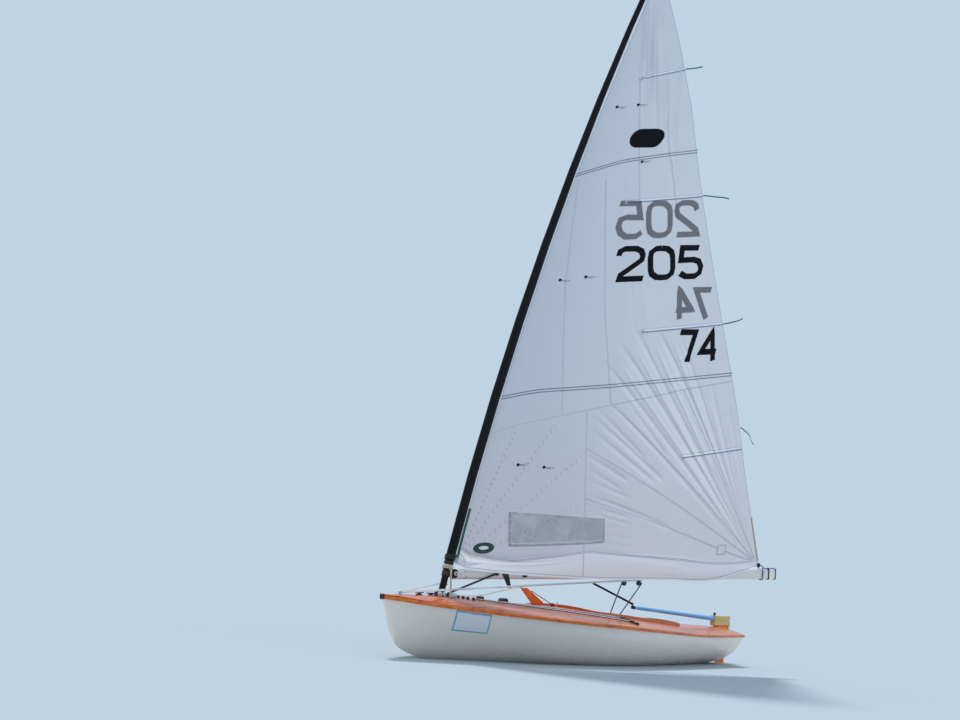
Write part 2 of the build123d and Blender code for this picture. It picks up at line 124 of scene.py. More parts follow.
def unit(v):
    """Vector, or each of several vectors, with its length made 1."""
    v = np.asarray(v, float)
    return v / np.linalg.norm(v, axis=-1, keepdims=True)


# Camera, floor and light

def set_view():
    bpy.context.scene.view_settings.view_transform = "Standard"


def add_camera():
    back = (CAMERA_AT - CAMERA_AIM).normalized()
    right = Vector((0, 0, 1)).cross(back).normalized()
    up = back.cross(right)
    roll = math.radians(CAMERA_ROLL_DEG)
    x_axis = right * math.cos(roll) + up * math.sin(roll)
    y_axis = back.cross(x_axis)
    turn = Matrix((x_axis, y_axis, back)).transposed()
    data = bpy.data.cameras.new("camera")
    data.lens = CAMERA_LENS
    data.sensor_width = 36
    data.clip_end = 2000
    camera = bpy.data.objects.new("camera", data)
    camera.matrix_world = Matrix.Translation(CAMERA_AT) @ turn.to_4x4()
    bpy.context.scene.collection.objects.link(camera)
    bpy.context.scene.camera = camera


def add_world():
    """Even background, and light that grows from the horizon to the zenith."""
    world = bpy.data.worlds.new("sky")
    bpy.context.scene.world = world
    p = Nodes(world)
    height = p.axes(p.add("ShaderNodeTexCoord").outputs["Generated"])[2]
    light = p.shader("ShaderNodeBackground", p.mix(height, HORIZON_LIGHT, ZENITH_LIGHT))
    surface = p.mix_shaders(p.seen_directly(), light, p.shader("ShaderNodeBackground", SKY_COLOR))
    p.add("ShaderNodeOutputWorld", {"Surface": surface})


def add_sun():
    data = bpy.data.lights.new("sun", "SUN")
    data.energy = SUN_POWER
    data.color = SUN_COLOR
    data.angle = SUN_WIDTH
    sun = bpy.data.objects.new("sun", data)
    sun.rotation_mode = "QUATERNION"
    sun.rotation_quaternion = SUN_FROM.to_track_quat("Z", "Y")
    bpy.context.scene.collection.objects.link(sun)


def floor_color():
    """Colour at which the open floor renders like the sky."""
    sunlight = [SUN_POWER / math.pi * SUN_FROM.z * part for part in SUN_COLOR]
    skylight = [low + (high - low) * 2 / 3 for low, high in zip(HORIZON_LIGHT, ZENITH_LIGHT)]
    return tuple(c / (a + b) for c, a, b in zip(SKY_COLOR, sunlight, skylight))


def add_floor():
    """Floor at the waterline that looks like the sky and catches the boat's shadow."""
    half = FLOOR_SIZE / 2
    verts = [(-half, -half, 0), (half, -half, 0), (half, half, 0), (-half, half, 0)]
    mesh = mesh_from("floor", verts, [(0, 1, 2, 3)], smooth=False)
    floor = bpy.data.objects.new("floor", mesh)
    bpy.context.scene.collection.objects.link(floor)
    mat = bpy.data.materials.new("floor")
    p = Nodes(mat)
    bounce = p.shader("ShaderNodeBsdfDiffuse", FLOOR_BOUNCE)
    pale = p.shader("ShaderNodeBsdfDiffuse", floor_color())
    p.add("ShaderNodeOutputMaterial", {"Surface": p.mix_shaders(p.seen_directly(), bounce, pale)})
    mesh.materials.append(mat)


# Materials

class Nodes:
    """Short calls that build one node tree."""

    def __init__(self, owner):
        owner.use_nodes = True
        self.tree = owner.node_tree
        self.tree.nodes.clear()

    def feed(self, socket, value):
        """Joins a socket to another one, or gives it a number, a vector or a colour."""
        if isinstance(value, bpy.types.NodeSocket):
            self.tree.links.new(value, socket)
        elif socket.type == "RGBA":
            socket.default_value = (*value, 1)
        else:
            socket.default_value = value

    def add(self, kind, inputs=None, **settings):
        node = self.tree.nodes.new(kind)
        for key, value in settings.items():
            setattr(node, key, value)
        for key, value in (inputs or {}).items():
            self.feed(node.inputs[key], value)
        return node

    def axes(self, vector):
        return list(self.add("ShaderNodeSeparateXYZ", {0: vector}).outputs)

    def coords(self, scale=(1, 1, 1), kind="Object", turn=(0, 0, 0)):
        source = self.add("ShaderNodeTexCoord").outputs[kind]
        inputs = {"Vector": source, "Scale": scale, "Rotation": turn}
        return self.add("ShaderNodeMapping", inputs).outputs[0]

    def noise(self, vector, scale, detail=4, roughness=0.55, distortion=0):
        inputs = {"Vector": vector, "Scale": scale, "Detail": detail, "Roughness": roughness,
                  "Distortion": distortion}
        return self.add("ShaderNodeTexNoise", inputs).outputs["Fac"]

    def wave(self, vector, scale, axis="X"):
        inputs = {"Vector": vector, "Scale": scale}
        return self.add("ShaderNodeTexWave", inputs, bands_direction=axis).outputs["Fac"]

    def ramp(self, fac, *stops):
        """Colour ramp of (position, colour) stops, where a colour is a number or three."""
        node = self.add("ShaderNodeValToRGB", {0: fac})
        elements = node.color_ramp.elements
        while len(elements) < len(stops):
            elements.new(0.5)
        for element, (position, color) in zip(elements, stops):
            element.position = position
            rgb = (color,) * 3 if isinstance(color, (int, float)) else color
            element.color = (*rgb, 1)
        return node.outputs[0]

    def math(self, operation, a, b=0.0):
        return self.add("ShaderNodeMath", {0: a, 1: b}, operation=operation).outputs[0]

    def vector_math(self, operation, a, b, output="Vector"):
        return self.add("ShaderNodeVectorMath", {0: a, 1: b}, operation=operation).outputs[output]

    def mix(self, fac, a, b, blend="MIX"):
        inputs = {0: fac, 6: a, 7: b}
        return self.add("ShaderNodeMix", inputs, data_type="RGBA", blend_type=blend).outputs[2]

    def shader(self, kind, color, **inputs):
        return self.add(kind, {"Color": color, **inputs}).outputs[0]

    def mix_shaders(self, fac, a, b):
        return self.add("ShaderNodeMixShader", {0: fac, 1: a, 2: b}).outputs[0]

    def seen_directly(self):
        """Socket that is 1 for camera, glossy and transmission rays."""
        rays = self.add("ShaderNodeLightPath").outputs
        first = self.math("MAXIMUM", rays["Is Camera Ray"], rays["Is Glossy Ray"])
        return self.math("MAXIMUM", first, rays["Is Transmission Ray"])


class Paint(Nodes):
    """Nodes of one material round a principled shader."""

    def __init__(self, name, roughness, **inputs):
        self.mat = bpy.data.materials.new(name)
        super().__init__(self.mat)
        inputs = {key.replace("_", " "): value for key, value in inputs.items()}
        self.base = self.add("ShaderNodeBsdfPrincipled", {"Roughness": roughness, **inputs})
        self.out = self.add("ShaderNodeOutputMaterial", {"Surface": self.base.outputs[0]})

    def color(self, socket):
        self.feed(self.base.inputs["Base Color"], socket)

    def rough(self, fac, *stops):
        self.feed(self.base.inputs["Roughness"], self.ramp(fac, *stops))

    def bump(self, height, distance, strength):
        inputs = {"Height": height, "Distance": distance, "Strength": strength}
        normal = self.add("ShaderNodeBump", inputs).outputs[0]
        self.feed(self.base.inputs["Normal"], normal)
        return normal

    def lay(self, share, kind, color, **inputs):
        """Mixes a share of another shader into the surface."""
        other = self.shader(kind, color, **inputs)
        self.feed(self.out.inputs["Surface"], self.mix_shaders(share, self.base.outputs[0], other))

    def edge_wear(self, amount):
        """Socket that rises to an amount on convex edges."""
        geometry = self.add("ShaderNodeNewGeometry")
        return self.ramp(geometry.outputs["Pointiness"], (0.5, 0.0), (0.56, amount))


def tint(color, factor):
    return tuple(min(1, part * factor) for part in color)


def wood(name, dark, mid, light, scale, gloss, grain_axis=0, veneers=False):
    """Varnished wood: long grain, pores and a clear coat."""
    p = Paint(name, 0.36, Coat_Weight=gloss, Coat_Roughness=0.12, Specular_IOR_Level=0.2)
    stretch = [scale] * 3
    stretch[grain_axis] = scale * 0.045
    vector = p.coords(tuple(stretch))
    figure = p.noise(vector, 3.2, 6, 0.6, 0.35)
    pores = p.noise(vector, 38, 3, 0.5)
    broad = p.noise(p.coords((0.7, 2.5, 2.5)), 2.0, 3)
    tone = p.ramp(figure, (0.32, dark), (0.5, mid), (0.7, light))
    tone = p.mix(0.35, tone, p.ramp(pores, (0.4, dark), (0.62, light)), "MULTIPLY")
    tone = p.mix(p.ramp(broad, (0.35, 0.0), (0.7, 0.4)), tone, light, "SOFT_LIGHT")
    p.color(glue_lines(p, tone) if veneers else tone)
    p.rough(pores, (0.3, 0.42), (0.7, 0.26))
    p.bump(pores, 0.0004, 0.25)
    return p.mat


def glue_lines(p, tone):
    """Draws the dark lines between the deck's lengthwise veneers on a tone."""
    lane = p.math("FRACT", p.math("MULTIPLY", p.axes(p.coords())[1], 1 / VENEER_WIDTH))
    line = p.math("LESS_THAN", p.math("ABSOLUTE", p.math("SUBTRACT", lane, 0.5)), 0.022)
    return p.mix(p.math("MULTIPLY", line, 0.75), tone, (0.035, 0.012, 0.008))


def painted(name, color, roughness, coat=0.0, speckle=0.05, wear=None, specular=0.5):
    """Sprayed paint: slight colour drift, orange peel, scuffs and worn edges."""
    p = Paint(name, roughness, Coat_Weight=coat, Coat_Roughness=0.08, Specular_IOR_Level=specular)
    vector = p.coords()
    drift = p.noise(vector, 1.7, 5)
    tone = p.ramp(drift, (0.3, tint(color, 1 - speckle)), (0.7, tint(color, 1 + speckle)))
    if wear is not None:
        tone = p.mix(p.edge_wear(0.6), tone, wear)
    p.color(tone)
    scuff = p.noise(p.coords((1, 6, 6)), 7, 6, 0.7)
    p.rough(scuff, (0.35, roughness * 0.8), (0.75, min(1, roughness * 1.35)))
    p.bump(p.noise(vector, 55, 3), 0.0006, 0.3)
    return p.mat


def hull_paint():
    """Gloss grey-white paint over moulded veneers, a little darker towards the waterline."""
    p = Paint("hull_paint", 0.32, Coat_Weight=0.2, Coat_Roughness=0.12, Specular_IOR_Level=0.3)
    vector = p.coords()
    drift = p.noise(vector, 1.3, 4)
    height = p.math("ADD", p.axes(vector)[2], p.math("MULTIPLY", drift, 0.12))
    tone = p.ramp(drift, (0.3, (0.80, 0.79, 0.73)), (0.7, (0.86, 0.85, 0.79)))
    p.color(p.mix(p.ramp(height, (0.02, 0.28), (0.16, 0.0)), tone, (0.55, 0.56, 0.50)))
    p.rough(p.noise(p.coords((0.6, 4, 4)), 5, 5, 0.65), (0.35, 0.16), (0.75, 0.34))
    p.bump(p.noise(vector, 9, 2), 0.002, 0.12)
    return p.mat


def plastic(name, color, roughness):
    """Fine-grained plastic with paler edges."""
    p = Paint(name, roughness, Specular_IOR_Level=0.25)
    vector = p.coords()
    cloud = p.noise(vector, 8, 4)
    tone = p.ramp(cloud, (0.3, tint(color, 0.8)), (0.7, tint(color, 1.25)))
    p.color(p.mix(p.edge_wear(0.5), tone, tuple(part + 0.06 for part in color)))
    p.rough(cloud, (0.3, roughness * 0.85), (0.7, roughness * 1.2))
    p.bump(p.noise(vector, 420, 2), 0.0002, 0.5)
    return p.mat


def steel():
    """Brushed stainless steel."""
    p = Paint("steel", 0.3, Metallic=1.0)
    brushed = p.noise(p.coords((1, 1, 9)), 160, 3)
    p.color(p.ramp(brushed, (0.3, (0.55, 0.56, 0.57)), (0.7, (0.70, 0.71, 0.72))))
    p.rough(p.noise(p.coords(), 30, 4), (0.3, 0.2), (0.7, 0.4))
    p.bump(brushed, 0.0001, 0.3)
    return p.mat


def carbon():
    """Carbon tube: a fine cross weave under a thin clear coat, with pale scuffs."""
    p = Paint("carbon", 0.42, Coat_Weight=0.05, Coat_Roughness=0.15, Specular_IOR_Level=0.12)
    slants = [p.wave(p.coords(turn=(0, math.radians(angle), 0)), 90) for angle in (45, -45)]
    weave = p.math("MULTIPLY", *slants)
    scuff = p.noise(p.coords((5, 5, 0.6)), 6, 6, 0.7)
    tone = p.ramp(weave, (0.2, (0.004, 0.005, 0.007)), (0.8, (0.018, 0.020, 0.024)))
    p.color(p.mix(p.ramp(scuff, (0.66, 0.0), (0.85, 0.4)), tone, (0.07, 0.075, 0.08)))
    p.rough(scuff, (0.4, 0.28), (0.75, 0.5))
    p.bump(p.noise(p.coords(), 30, 3), 0.0006, 0.25)
    return p.mat


def webbing(name, color):
    """Woven webbing, a little soiled."""
    p = Paint(name, 0.85, Sheen_Weight=0.3)
    vector = p.coords()
    cross = p.math("MULTIPLY", p.wave(vector, 20, "X"), p.wave(vector, 20, "Y"))
    tone = p.ramp(cross, (0.1, tint(color, 0.6)), (0.8, color))
    soil = p.ramp(p.noise(vector, 6, 5), (0.45, 0.0), (0.8, 0.35))
    p.color(p.mix(soil, tone, (0.12, 0.12, 0.12)))
    p.bump(cross, 0.0008, 0.6)
    return p.mat


def smooth_value(values, f):
    """Catmull-Rom curve through evenly spaced values. f runs from 0 to 1."""
    values = np.asarray(values, float)
    padded = np.concatenate([[2 * values[0] - values[1]], values, [2 * values[-1] - values[-2]]])
    x = np.clip(np.asarray(f, float), 0, 1) * (len(values) - 1)
    i = np.minimum(x.astype(int), len(values) - 2)
    t = x - i
    a, b, c, d = padded[i], padded[i + 1], padded[i + 2], padded[i + 3]
    return 0.5 * (2 * b + (c - a) * t + (2 * a - 5 * b + 4 * c - d) * t ** 2
                  + (3 * b - a - 3 * c + d) * t ** 3)


def chord(v):
    """Length of the sail from luff to leech at a height."""
    return smooth_value(LEECH_CHORDS, v) - LUFF_INSET


def metric(u, v):
    """Flat position of a sail point: metres aft of the luff and above the foot."""
    return LUFF_INSET + chord(v) * u, LUFF * np.asarray(v, float)


def flat_points(uv_points):
    """Flat positions of several (u, v) points."""
    return np.stack(metric(*np.array(uv_points).T), -1)


BATTENS = (
    ((0.333, 0.801), (1.0, 0.817)),
    ((0.391, 0.584), (1.0, 0.595)),
    ((0.543, 0.369), (1.0, 0.382)),
    ((0.717, 0.169), (0.994, 0.183)),
)
DRAFT_STRIPES = (
    ((0.004, 0.631), (0.157, 0.643), (0.328, 0.654), (0.630, 0.663), (0.995, 0.671)),
    ((0.005, 0.260), (0.126, 0.271), (0.268, 0.276), (0.425, 0.281), (0.678, 0.290), (0.997, 0.300)),
)
PANEL_SEAMS = (
    ((0.034, 0.623), (0.139, 0.442), (0.220, 0.273), (0.236, 0.233)),
    ((0.223, 0.622), (0.348, 0.410), (0.419, 0.250)),
    ((0.317, 0.800), (0.489, 0.587)),
    ((0.675, 0.724), (0.778, 0.553)),
    ((0.004, 0.203), (0.087, 0.217), (0.235, 0.233), (0.423, 0.250), (0.739, 0.275), (0.990, 0.289)),
    ((0.327, 0.238), (0.357, 0.098), (0.370, 0.001)),
    ((0.988, 0.010), (0.344, 0.180)),
    ((0.988, 0.010), (0.423, 0.250)),
    ((0.988, 0.010), (0.360, 0.103)),
    ((0.988, 0.010), (0.700, 0.022), (0.378, 0.030)),
    ((0.009, 0.002), (0.067, 0.009), (0.312, 0.025), (0.378, 0.030)),
    ((0.988, 0.010), (0.739, 0.275)),
)
# Bound edges: foot, leech and luff
EDGE_LINES = (
    ((0.0, 0.0), (1.0, 0.0)),
    tuple((1.0, 0.125 * i) for i in range(9)),
    ((0.0, 0.0), (0.0, 1.0)),
)
# The long fold over the foot: its height at the tack, slope and curve, in metres
FOLD_HEIGHT, FOLD_SLOPE, FOLD_CURVE = 0.100, -0.125, 0.132
# The painted highlight on the fold, a wedge: half width at the tack and length
WEDGE_HALF, WEDGE_LENGTH = 0.042, 1.25
# The foot panel's upper edge over the foot, where the painted light ends: height in the middle and length,
# in metres
FOOT_PANEL_HEIGHT, FOOT_PANEL_LENGTH = 0.172, 3.37


def closest(p, vector, lines):
    """Socket with the distance, in the flat sail, from the nearest of several lines of (u, v) points."""
    nearest = None
    for line in lines:
        points = flat_points(line)
        for a, b in zip(points, points[1:]):
            run = b - a
            offset = p.vector_math("SUBTRACT", vector, (*a, 0))
            along = p.vector_math("DOT_PRODUCT", offset, (*(run / run.dot(run)), 0), "Value")
            held = p.math("MINIMUM", p.math("MAXIMUM", along, 0.0), 1.0)
            foot = p.add("ShaderNodeVectorMath", {0: (*run, 0), "Scale": held}, operation="SCALE")
            away = p.vector_math("DISTANCE", offset, foot.outputs[0], "Value")
            nearest = away if nearest is None else p.math("MINIMUM", nearest, away)
    return nearest


def painted_fold_highlight(p, vector, tone):
    """Lays a painted highlight on the fold, a wedge that narrows aft from the tack, on a tone."""
    x, y, _ = p.axes(vector)
    bend = p.math("ADD", p.math("MULTIPLY", x, FOLD_CURVE), FOLD_SLOPE)
    middle = p.math("ADD", p.math("MULTIPLY", x, bend), FOLD_HEIGHT)
    left = p.math("MAXIMUM", p.math("SUBTRACT", 1.0, p.math("DIVIDE", x, WEDGE_LENGTH)), 0.0)
    half = p.math("MULTIPLY", p.math("MULTIPLY", left, left), WEDGE_HALF)
    away = p.math("ABSOLUTE", p.math("SUBTRACT", y, middle))
    share = p.math("DIVIDE", away, p.math("MAXIMUM", half, 0.0001))
    return p.mix(p.ramp(share, (0.0, 1.0), (0.55, 0.7), (1.0, 0.0)), tone, FOLD_PAINTED_HIGHLIGHT)


def painted_foot_light(p, vector, tone):
    """Lays painted light on the foot, a lighter tone below the foot panel's edge that stands in for light
    reflected up onto it; the edge bulges up between the tack and the clew.
    """
    x, y, _ = p.axes(vector)
    along = p.math("DIVIDE", x, FOOT_PANEL_LENGTH)
    bulge = p.math("MULTIPLY", along, p.math("SUBTRACT", 1.0, along))
    over = p.math("SUBTRACT", y, p.math("MULTIPLY", bulge, 4 * FOOT_PANEL_HEIGHT))
    return p.mix(p.ramp(over, (0.0, 0.85), (0.012, 0.0)), tone, FOOT_PAINTED_LIGHT)


def luff_shade(p, vector, tone):
    """Painted shade: darkens the cloth along the luff, fading out aft and up. The factors keep the ramp's
    value below 1.
    """
    x, y, _ = p.axes(vector)
    back = p.math("ADD", p.math("MULTIPLY", x, 0.4), p.math("MULTIPLY", y, 0.1))
    shade = p.ramp(back, (0.12, 0.85), (0.32, 0.78), (0.52, 0.5), (0.72, 0.16), (0.92, 0.0))
    return p.mix(shade, tone, LUFF_PAINTED_SHADE)


def sewn(p, tone, away, half, lap):
    """Lays a paler double cloth of a half width and its two rows of stitches on a tone."""
    tone = p.mix(p.ramp(away, (half - 0.001, 1.0), (half + 0.001, 0.0)), tone, lap)
    row = p.ramp(away, (half - 0.0040, 0.0), (half - 0.0035, 1.0),
                 (half - 0.0010, 1.0), (half - 0.0005, 0.0))
    return p.mix(row, tone, THREAD_COLOR)


def cloth(name, color, through, sewing=False):
    """Sailcloth: a crisp weave that scatters light forward and lets some through."""
    p = Paint(name, 0.42, Specular_IOR_Level=0.35)
    vector = p.coords(kind="UV")
    cross = p.math("ADD", p.wave(vector, 55, "X"), p.wave(vector, 55, "Y"))
    cloud = p.noise(vector, 3.0, 6, 0.6)
    tone = p.ramp(cloud, (0.3, tint(color, 0.965)), (0.7, color))
    if sewing:
        tone = luff_shade(p, vector, tone)
        tone = painted_foot_light(p, vector, tone)
        tone = sewn(p, tone, closest(p, vector, PANEL_SEAMS), 0.0070, LAP_COLOR)
        tone = sewn(p, tone, closest(p, vector, BATTENS), 0.019, POCKET_COLOR)
        tone = sewn(p, tone, closest(p, vector, EDGE_LINES), 0.018, POCKET_COLOR)
        tone = painted_fold_highlight(p, vector, tone)
    p.color(tone)
    normal = p.bump(p.math("ADD", p.math("MULTIPLY", cross, 0.03), cloud), 0.004, 0.22)
    p.lay(through, "ShaderNodeBsdfTranslucent", tone, Normal=normal)
    return p.mat


def film():
    """Clear sail window, slightly scratched, that shows what is behind it."""
    p = Paint("window_film", 0.12, Specular_IOR_Level=0.6)
    vector = p.coords(kind="UV")
    crumple = p.noise(vector, 60, 5, 0.7)
    tone = p.ramp(crumple, (0.3, (0.26, 0.30, 0.34)), (0.7, (0.60, 0.64, 0.69)))
    haze = p.ramp(p.noise(vector, 3.5, 3, 0.6), (0.48, 0.0), (0.62, 0.55))
    p.color(p.mix(haze, tone, (0.92, 0.94, 0.96)))
    p.bump(crumple, 0.004, 0.5)
    p.lay(0.6, "ShaderNodeBsdfTransparent", (0.50, 0.48, 0.47))
    return p.mat


def rope_material(name, color, fleck, through=0.0):
    """Braided rope: slanting strands around the line, fuzzy and a little dirty."""
    p = Paint(name, 0.8, Sheen_Weight=0.2)
    braid = (60, 2, 1)
    slants = [p.wave(p.coords(braid, "UV", (0, 0, math.radians(angle))), 1.0) for angle in (45, -45)]
    strands = p.math("MAXIMUM", *slants)
    marks = p.noise(p.coords(braid, "UV"), 0.7, 2)
    tone = p.ramp(strands, (0.2, tint(color, 0.75)), (0.8, color))
    p.color(p.mix(p.ramp(marks, (0.55, 0.0), (0.62, 1.0)), tone, fleck))
    p.bump(strands, 0.0012, 0.7)
    p.lay(through, "ShaderNodeBsdfTranslucent", color)
    return p.mat


SAIL_CLOTH = (0.64, 0.67, 0.71)
SAIL_THROUGH = 0.66
VENEER_WIDTH = 0.055
LAP_COLOR = (0.76, 0.79, 0.83)
POCKET_COLOR = (0.72, 0.77, 0.84)
THREAD_COLOR = (0.23, 0.28, 0.36)
# Painted highlight on the fold over the foot
FOLD_PAINTED_HIGHLIGHT = (1.0, 1.0, 1.0)
# Painted light over the foot, below the foot panel's edge
FOOT_PAINTED_LIGHT = (0.70, 0.73, 0.78)
# Painted shade laid over the cloth along the luff
LUFF_PAINTED_SHADE = (0.50, 0.545, 0.61)

MATERIALS = {
    "hull_paint": hull_paint(),
    "deck_wood": wood("deck_wood", (0.38, 0.085, 0.024), (0.68, 0.185, 0.052), (0.86, 0.31, 0.10),
                      9, 0.4, veneers=True),
    "rail_wood": wood("rail_wood", (0.52, 0.12, 0.012), (0.78, 0.23, 0.03), (0.90, 0.36, 0.07), 11, 0.4),
    "inner_wood": wood("inner_wood", (0.22, 0.10, 0.04), (0.40, 0.20, 0.085), (0.56, 0.31, 0.15), 8, 0.3),
    "blade_wood": wood("blade_wood", (0.74, 0.15, 0.004), (0.97, 0.26, 0.008), (1.0, 0.38, 0.02),
                       12, 0.03, 2),
    "webbing": webbing("webbing", (0.035, 0.038, 0.045)),
    "black_plastic": plastic("black_plastic", (0.010, 0.0105, 0.012), 0.45),
    "steel": steel(),
    "carbon": carbon(),
    "boom_paint": painted("boom_paint", (0.93, 0.93, 0.92), 0.4, 0.1, 0.03, wear=(0.7, 0.7, 0.7)),
    "rudder_paint": painted("rudder_paint", (1.0, 0.64, 0.13), 0.45, 0.1, 0.1, wear=(0.5, 0.4, 0.2)),
    "tiller_paint": painted("tiller_paint", (0.09, 0.48, 0.98), 0.36, 0.1, 0.04, wear=(0.5, 0.7, 0.9)),
    "sailcloth": cloth("sailcloth", SAIL_CLOTH, SAIL_THROUGH, sewing=True),
}
WHITE_VINYL = painted("white_vinyl", (0.80, 0.82, 0.83), 0.4)
BLACK_VINYL = painted("black_vinyl", (0.006, 0.007, 0.011), 0.7, specular=0.12)
TAPE_WHITE = cloth("tape_white", (0.82, 0.84, 0.86), 0.45)
WINDOW_EDGE = cloth("window_edge", (0.95, 0.96, 0.97), 0.8)
TAPE_GREEN = cloth("tape_green", (0.02, 0.16, 0.12), 0.2)
TAPE_CREAM = cloth("tape_cream", (0.62, 0.58, 0.42), 0.2)
STITCH_GREY = cloth("stitch_grey", (0.50, 0.54, 0.60), 0.5)
PANEL_PALE = painted("panel_pale", (0.76, 0.80, 0.86), 0.35)
PANEL_EDGE = painted("panel_edge", (0.22, 0.48, 0.68), 0.35)
DARK_RED = painted("dark_red", (0.16, 0.03, 0.03), 0.5)
WINDOW_FILM = film()
# Painted light: the white rope's cool blue tint offsets the warm light thrown up on it from the deck
ROPE_WHITE = rope_material("rope_white", (0.90, 0.97, 1.0), (0.84, 0.92, 0.98), 0.6)
ROPE_CREAM = rope_material("rope_cream", (0.92, 0.86, 0.70), (0.76, 0.70, 0.56), 0.3)
ROPE_NAVY = rope_material("rope_navy", (0.03, 0.08, 0.26), (0.06, 0.16, 0.42))
ROPE_BLUE = rope_material("rope_blue", (0.04, 0.14, 0.42), (0.62, 0.64, 0.68))
ROPE_BLACK = rope_material("rope_black", (0.02, 0.02, 0.022), (0.05, 0.05, 0.05))
ROPE_RED = rope_material("rope_red", (0.36, 0.03, 0.03), (0.6, 0.5, 0.5))
ROPE_PINK = rope_material("rope_pink", (0.62, 0.34, 0.33), (0.7, 0.6, 0.6))
DARK_GREEN = painted("dark_green", (0.008, 0.05, 0.045), 0.4)


def dress_cad_nodes():
    """Every carried-over CAD node takes the material of its record slot."""
    for row in frame["record"]["subparts"]:
        node = frame["nodes"][row["node"]]
        material = MATERIALS[row["material_slot"]]
        node.data.materials.clear()
        node.data.materials.append(material)
        for polygon in node.data.polygons:
            polygon.material_index = 0


# The sail's surface

def bend_direction():
    """Direction in which the mast bends: square to it, over the boom."""
    over_boom = np.array([-math.cos(SWING), math.sin(SWING), 0.0])
    return unit(over_boom - MAST_DIR * over_boom.dot(MAST_DIR))


def mast_axis(s):
    """Points on the mast axis at heights s over the deck."""
    s = np.asarray(s, float)[..., None]
    bent = np.maximum(s, 0) / MAST_BEND_RADIUS
    straight = np.minimum(s, 0)
    along = MAST_DIR * (MAST_BEND_RADIUS * np.sin(bent) + straight)
    return MAST_DECK + along + bend_direction() * (MAST_BEND_RADIUS * (1 - np.cos(bent)))


def sail_base(u, v):
    """Smooth sail surface: u from luff to leech, v from foot to head."""
    u, v = np.asarray(u, float), np.asarray(v, float)
    start = mast_axis(LUFF_FOOT + LUFF * v)
    angle = SWING + TWIST * v
    rise = FOOT_SLOPE * (1 - v) + HEAD_SLOPE * v
    aft = unit(np.stack([-np.cos(angle), np.sin(angle), rise], -1))
    side = np.stack([np.sin(angle), np.cos(angle), np.zeros_like(angle)], -1)
    run = chord(v)
    reach = (LUFF_INSET + run * u)[..., None]
    belly = (CAMBER * run * np.sin(np.pi * np.clip(u, 0, 1) ** DRAFT_POWER))[..., None]
    low = np.exp(-(np.maximum(v, 0) / 0.035) ** 1.3)
    drop = FOOT_DROP * np.sin(np.pi * np.clip(u, 0, 1)) * low
    by_tack = TACK_SAG * np.clip(u / 0.03, 0, 1) * np.exp(-(u / 0.25) ** 2)
    by_clew = CLEW_SAG * np.clip((1 - u) / 0.05, 0, 1) * np.exp(-((u - 0.81) / 0.14) ** 2)
    sag = (by_tack + by_clew) * np.exp(-(np.maximum(v, 0) / 0.02) ** 1.5)
    down = (drop + sag)[..., None] * np.array([0, 0, 1])
    return start + aft * reach + side * belly - down


def sail_normal(u, v):
    """Unit normal of the smooth surface, towards port."""
    e = 1e-3
    along = sail_base(u + e, v) - sail_base(u - e, v)
    up = sail_base(u, v + e) - sail_base(u, v - e)
    n = unit(np.cross(up, along))
    return np.where(n[..., 1:2] < 0, -n, n)


# Creases that fan out from the clew: angle over the foot in degrees at their far and near end,
# start and end in metres from the clew, half width and height in millimetres
CLEW_CREASES = (
    (2.0, 2.5, 0.08, 1.45, 14, 6),
    (5.5, 7.6, 0.10, 2.20, 14, 4),
    (7.3, 8.2, 1.60, 2.05, 12, 4),
    (9.6, 10.4, 0.15, 0.95, 10, 4),
    (9.7, 9.9, 1.65, 2.10, 12, 4),
    (13.1, 13.6, 1.70, 2.32, 10, 5),
    (14.4, 15.1, 1.75, 2.34, 11, 6),
    (16.6, 17.2, 1.20, 2.42, 15, 8),
    (19.4, 21.8, 0.20, 0.80, 9, 4),
    (19.5, 19.8, 1.85, 2.50, 15, 6),
    (21.9, 20.6, 1.95, 2.60, 17, 6),
    (24.0, 23.3, 1.95, 2.70, 18, 7),
    (26.2, 26.0, 0.10, 0.65, 8, 4),
    (28.3, 27.0, 1.70, 2.75, 18, 8),
    (28.6, 31.5, 0.10, 0.65, 9, 5),
    (30.5, 29.0, 1.60, 2.85, 17, 9),
    (32.1, 30.4, 1.95, 2.90, 17, 8),
    (34.3, 33.0, 0.10, 2.85, 16, 8),
    (36.9, 35.0, 1.75, 2.70, 16, 7),
    (38.4, 36.5, 0.15, 3.20, 17, 10),
    (40.2, 38.9, 0.80, 3.05, 15, -8),
    (42.1, 40.7, 0.10, 3.25, 20, 13),
    (43.8, 42.6, 1.20, 3.05, 14, -8),
    (45.5, 43.3, 0.45, 3.30, 18, 12),
    (47.3, 46.2, 1.20, 3.00, 14, -9),
    (48.9, 49.6, 0.10, 3.05, 21, 15),
    (50.8, 50.3, 0.90, 2.85, 14, -8),
    (52.7, 51.0, 0.30, 2.80, 17, 10),
    (54.6, 53.5, 0.80, 2.10, 13, -5),
    (56.6, 52.5, 0.10, 2.20, 16, 8),
    (58.8, 58.0, 0.70, 1.80, 12, -4),
    (60.4, 60.0, 0.35, 1.90, 13, 6),
)

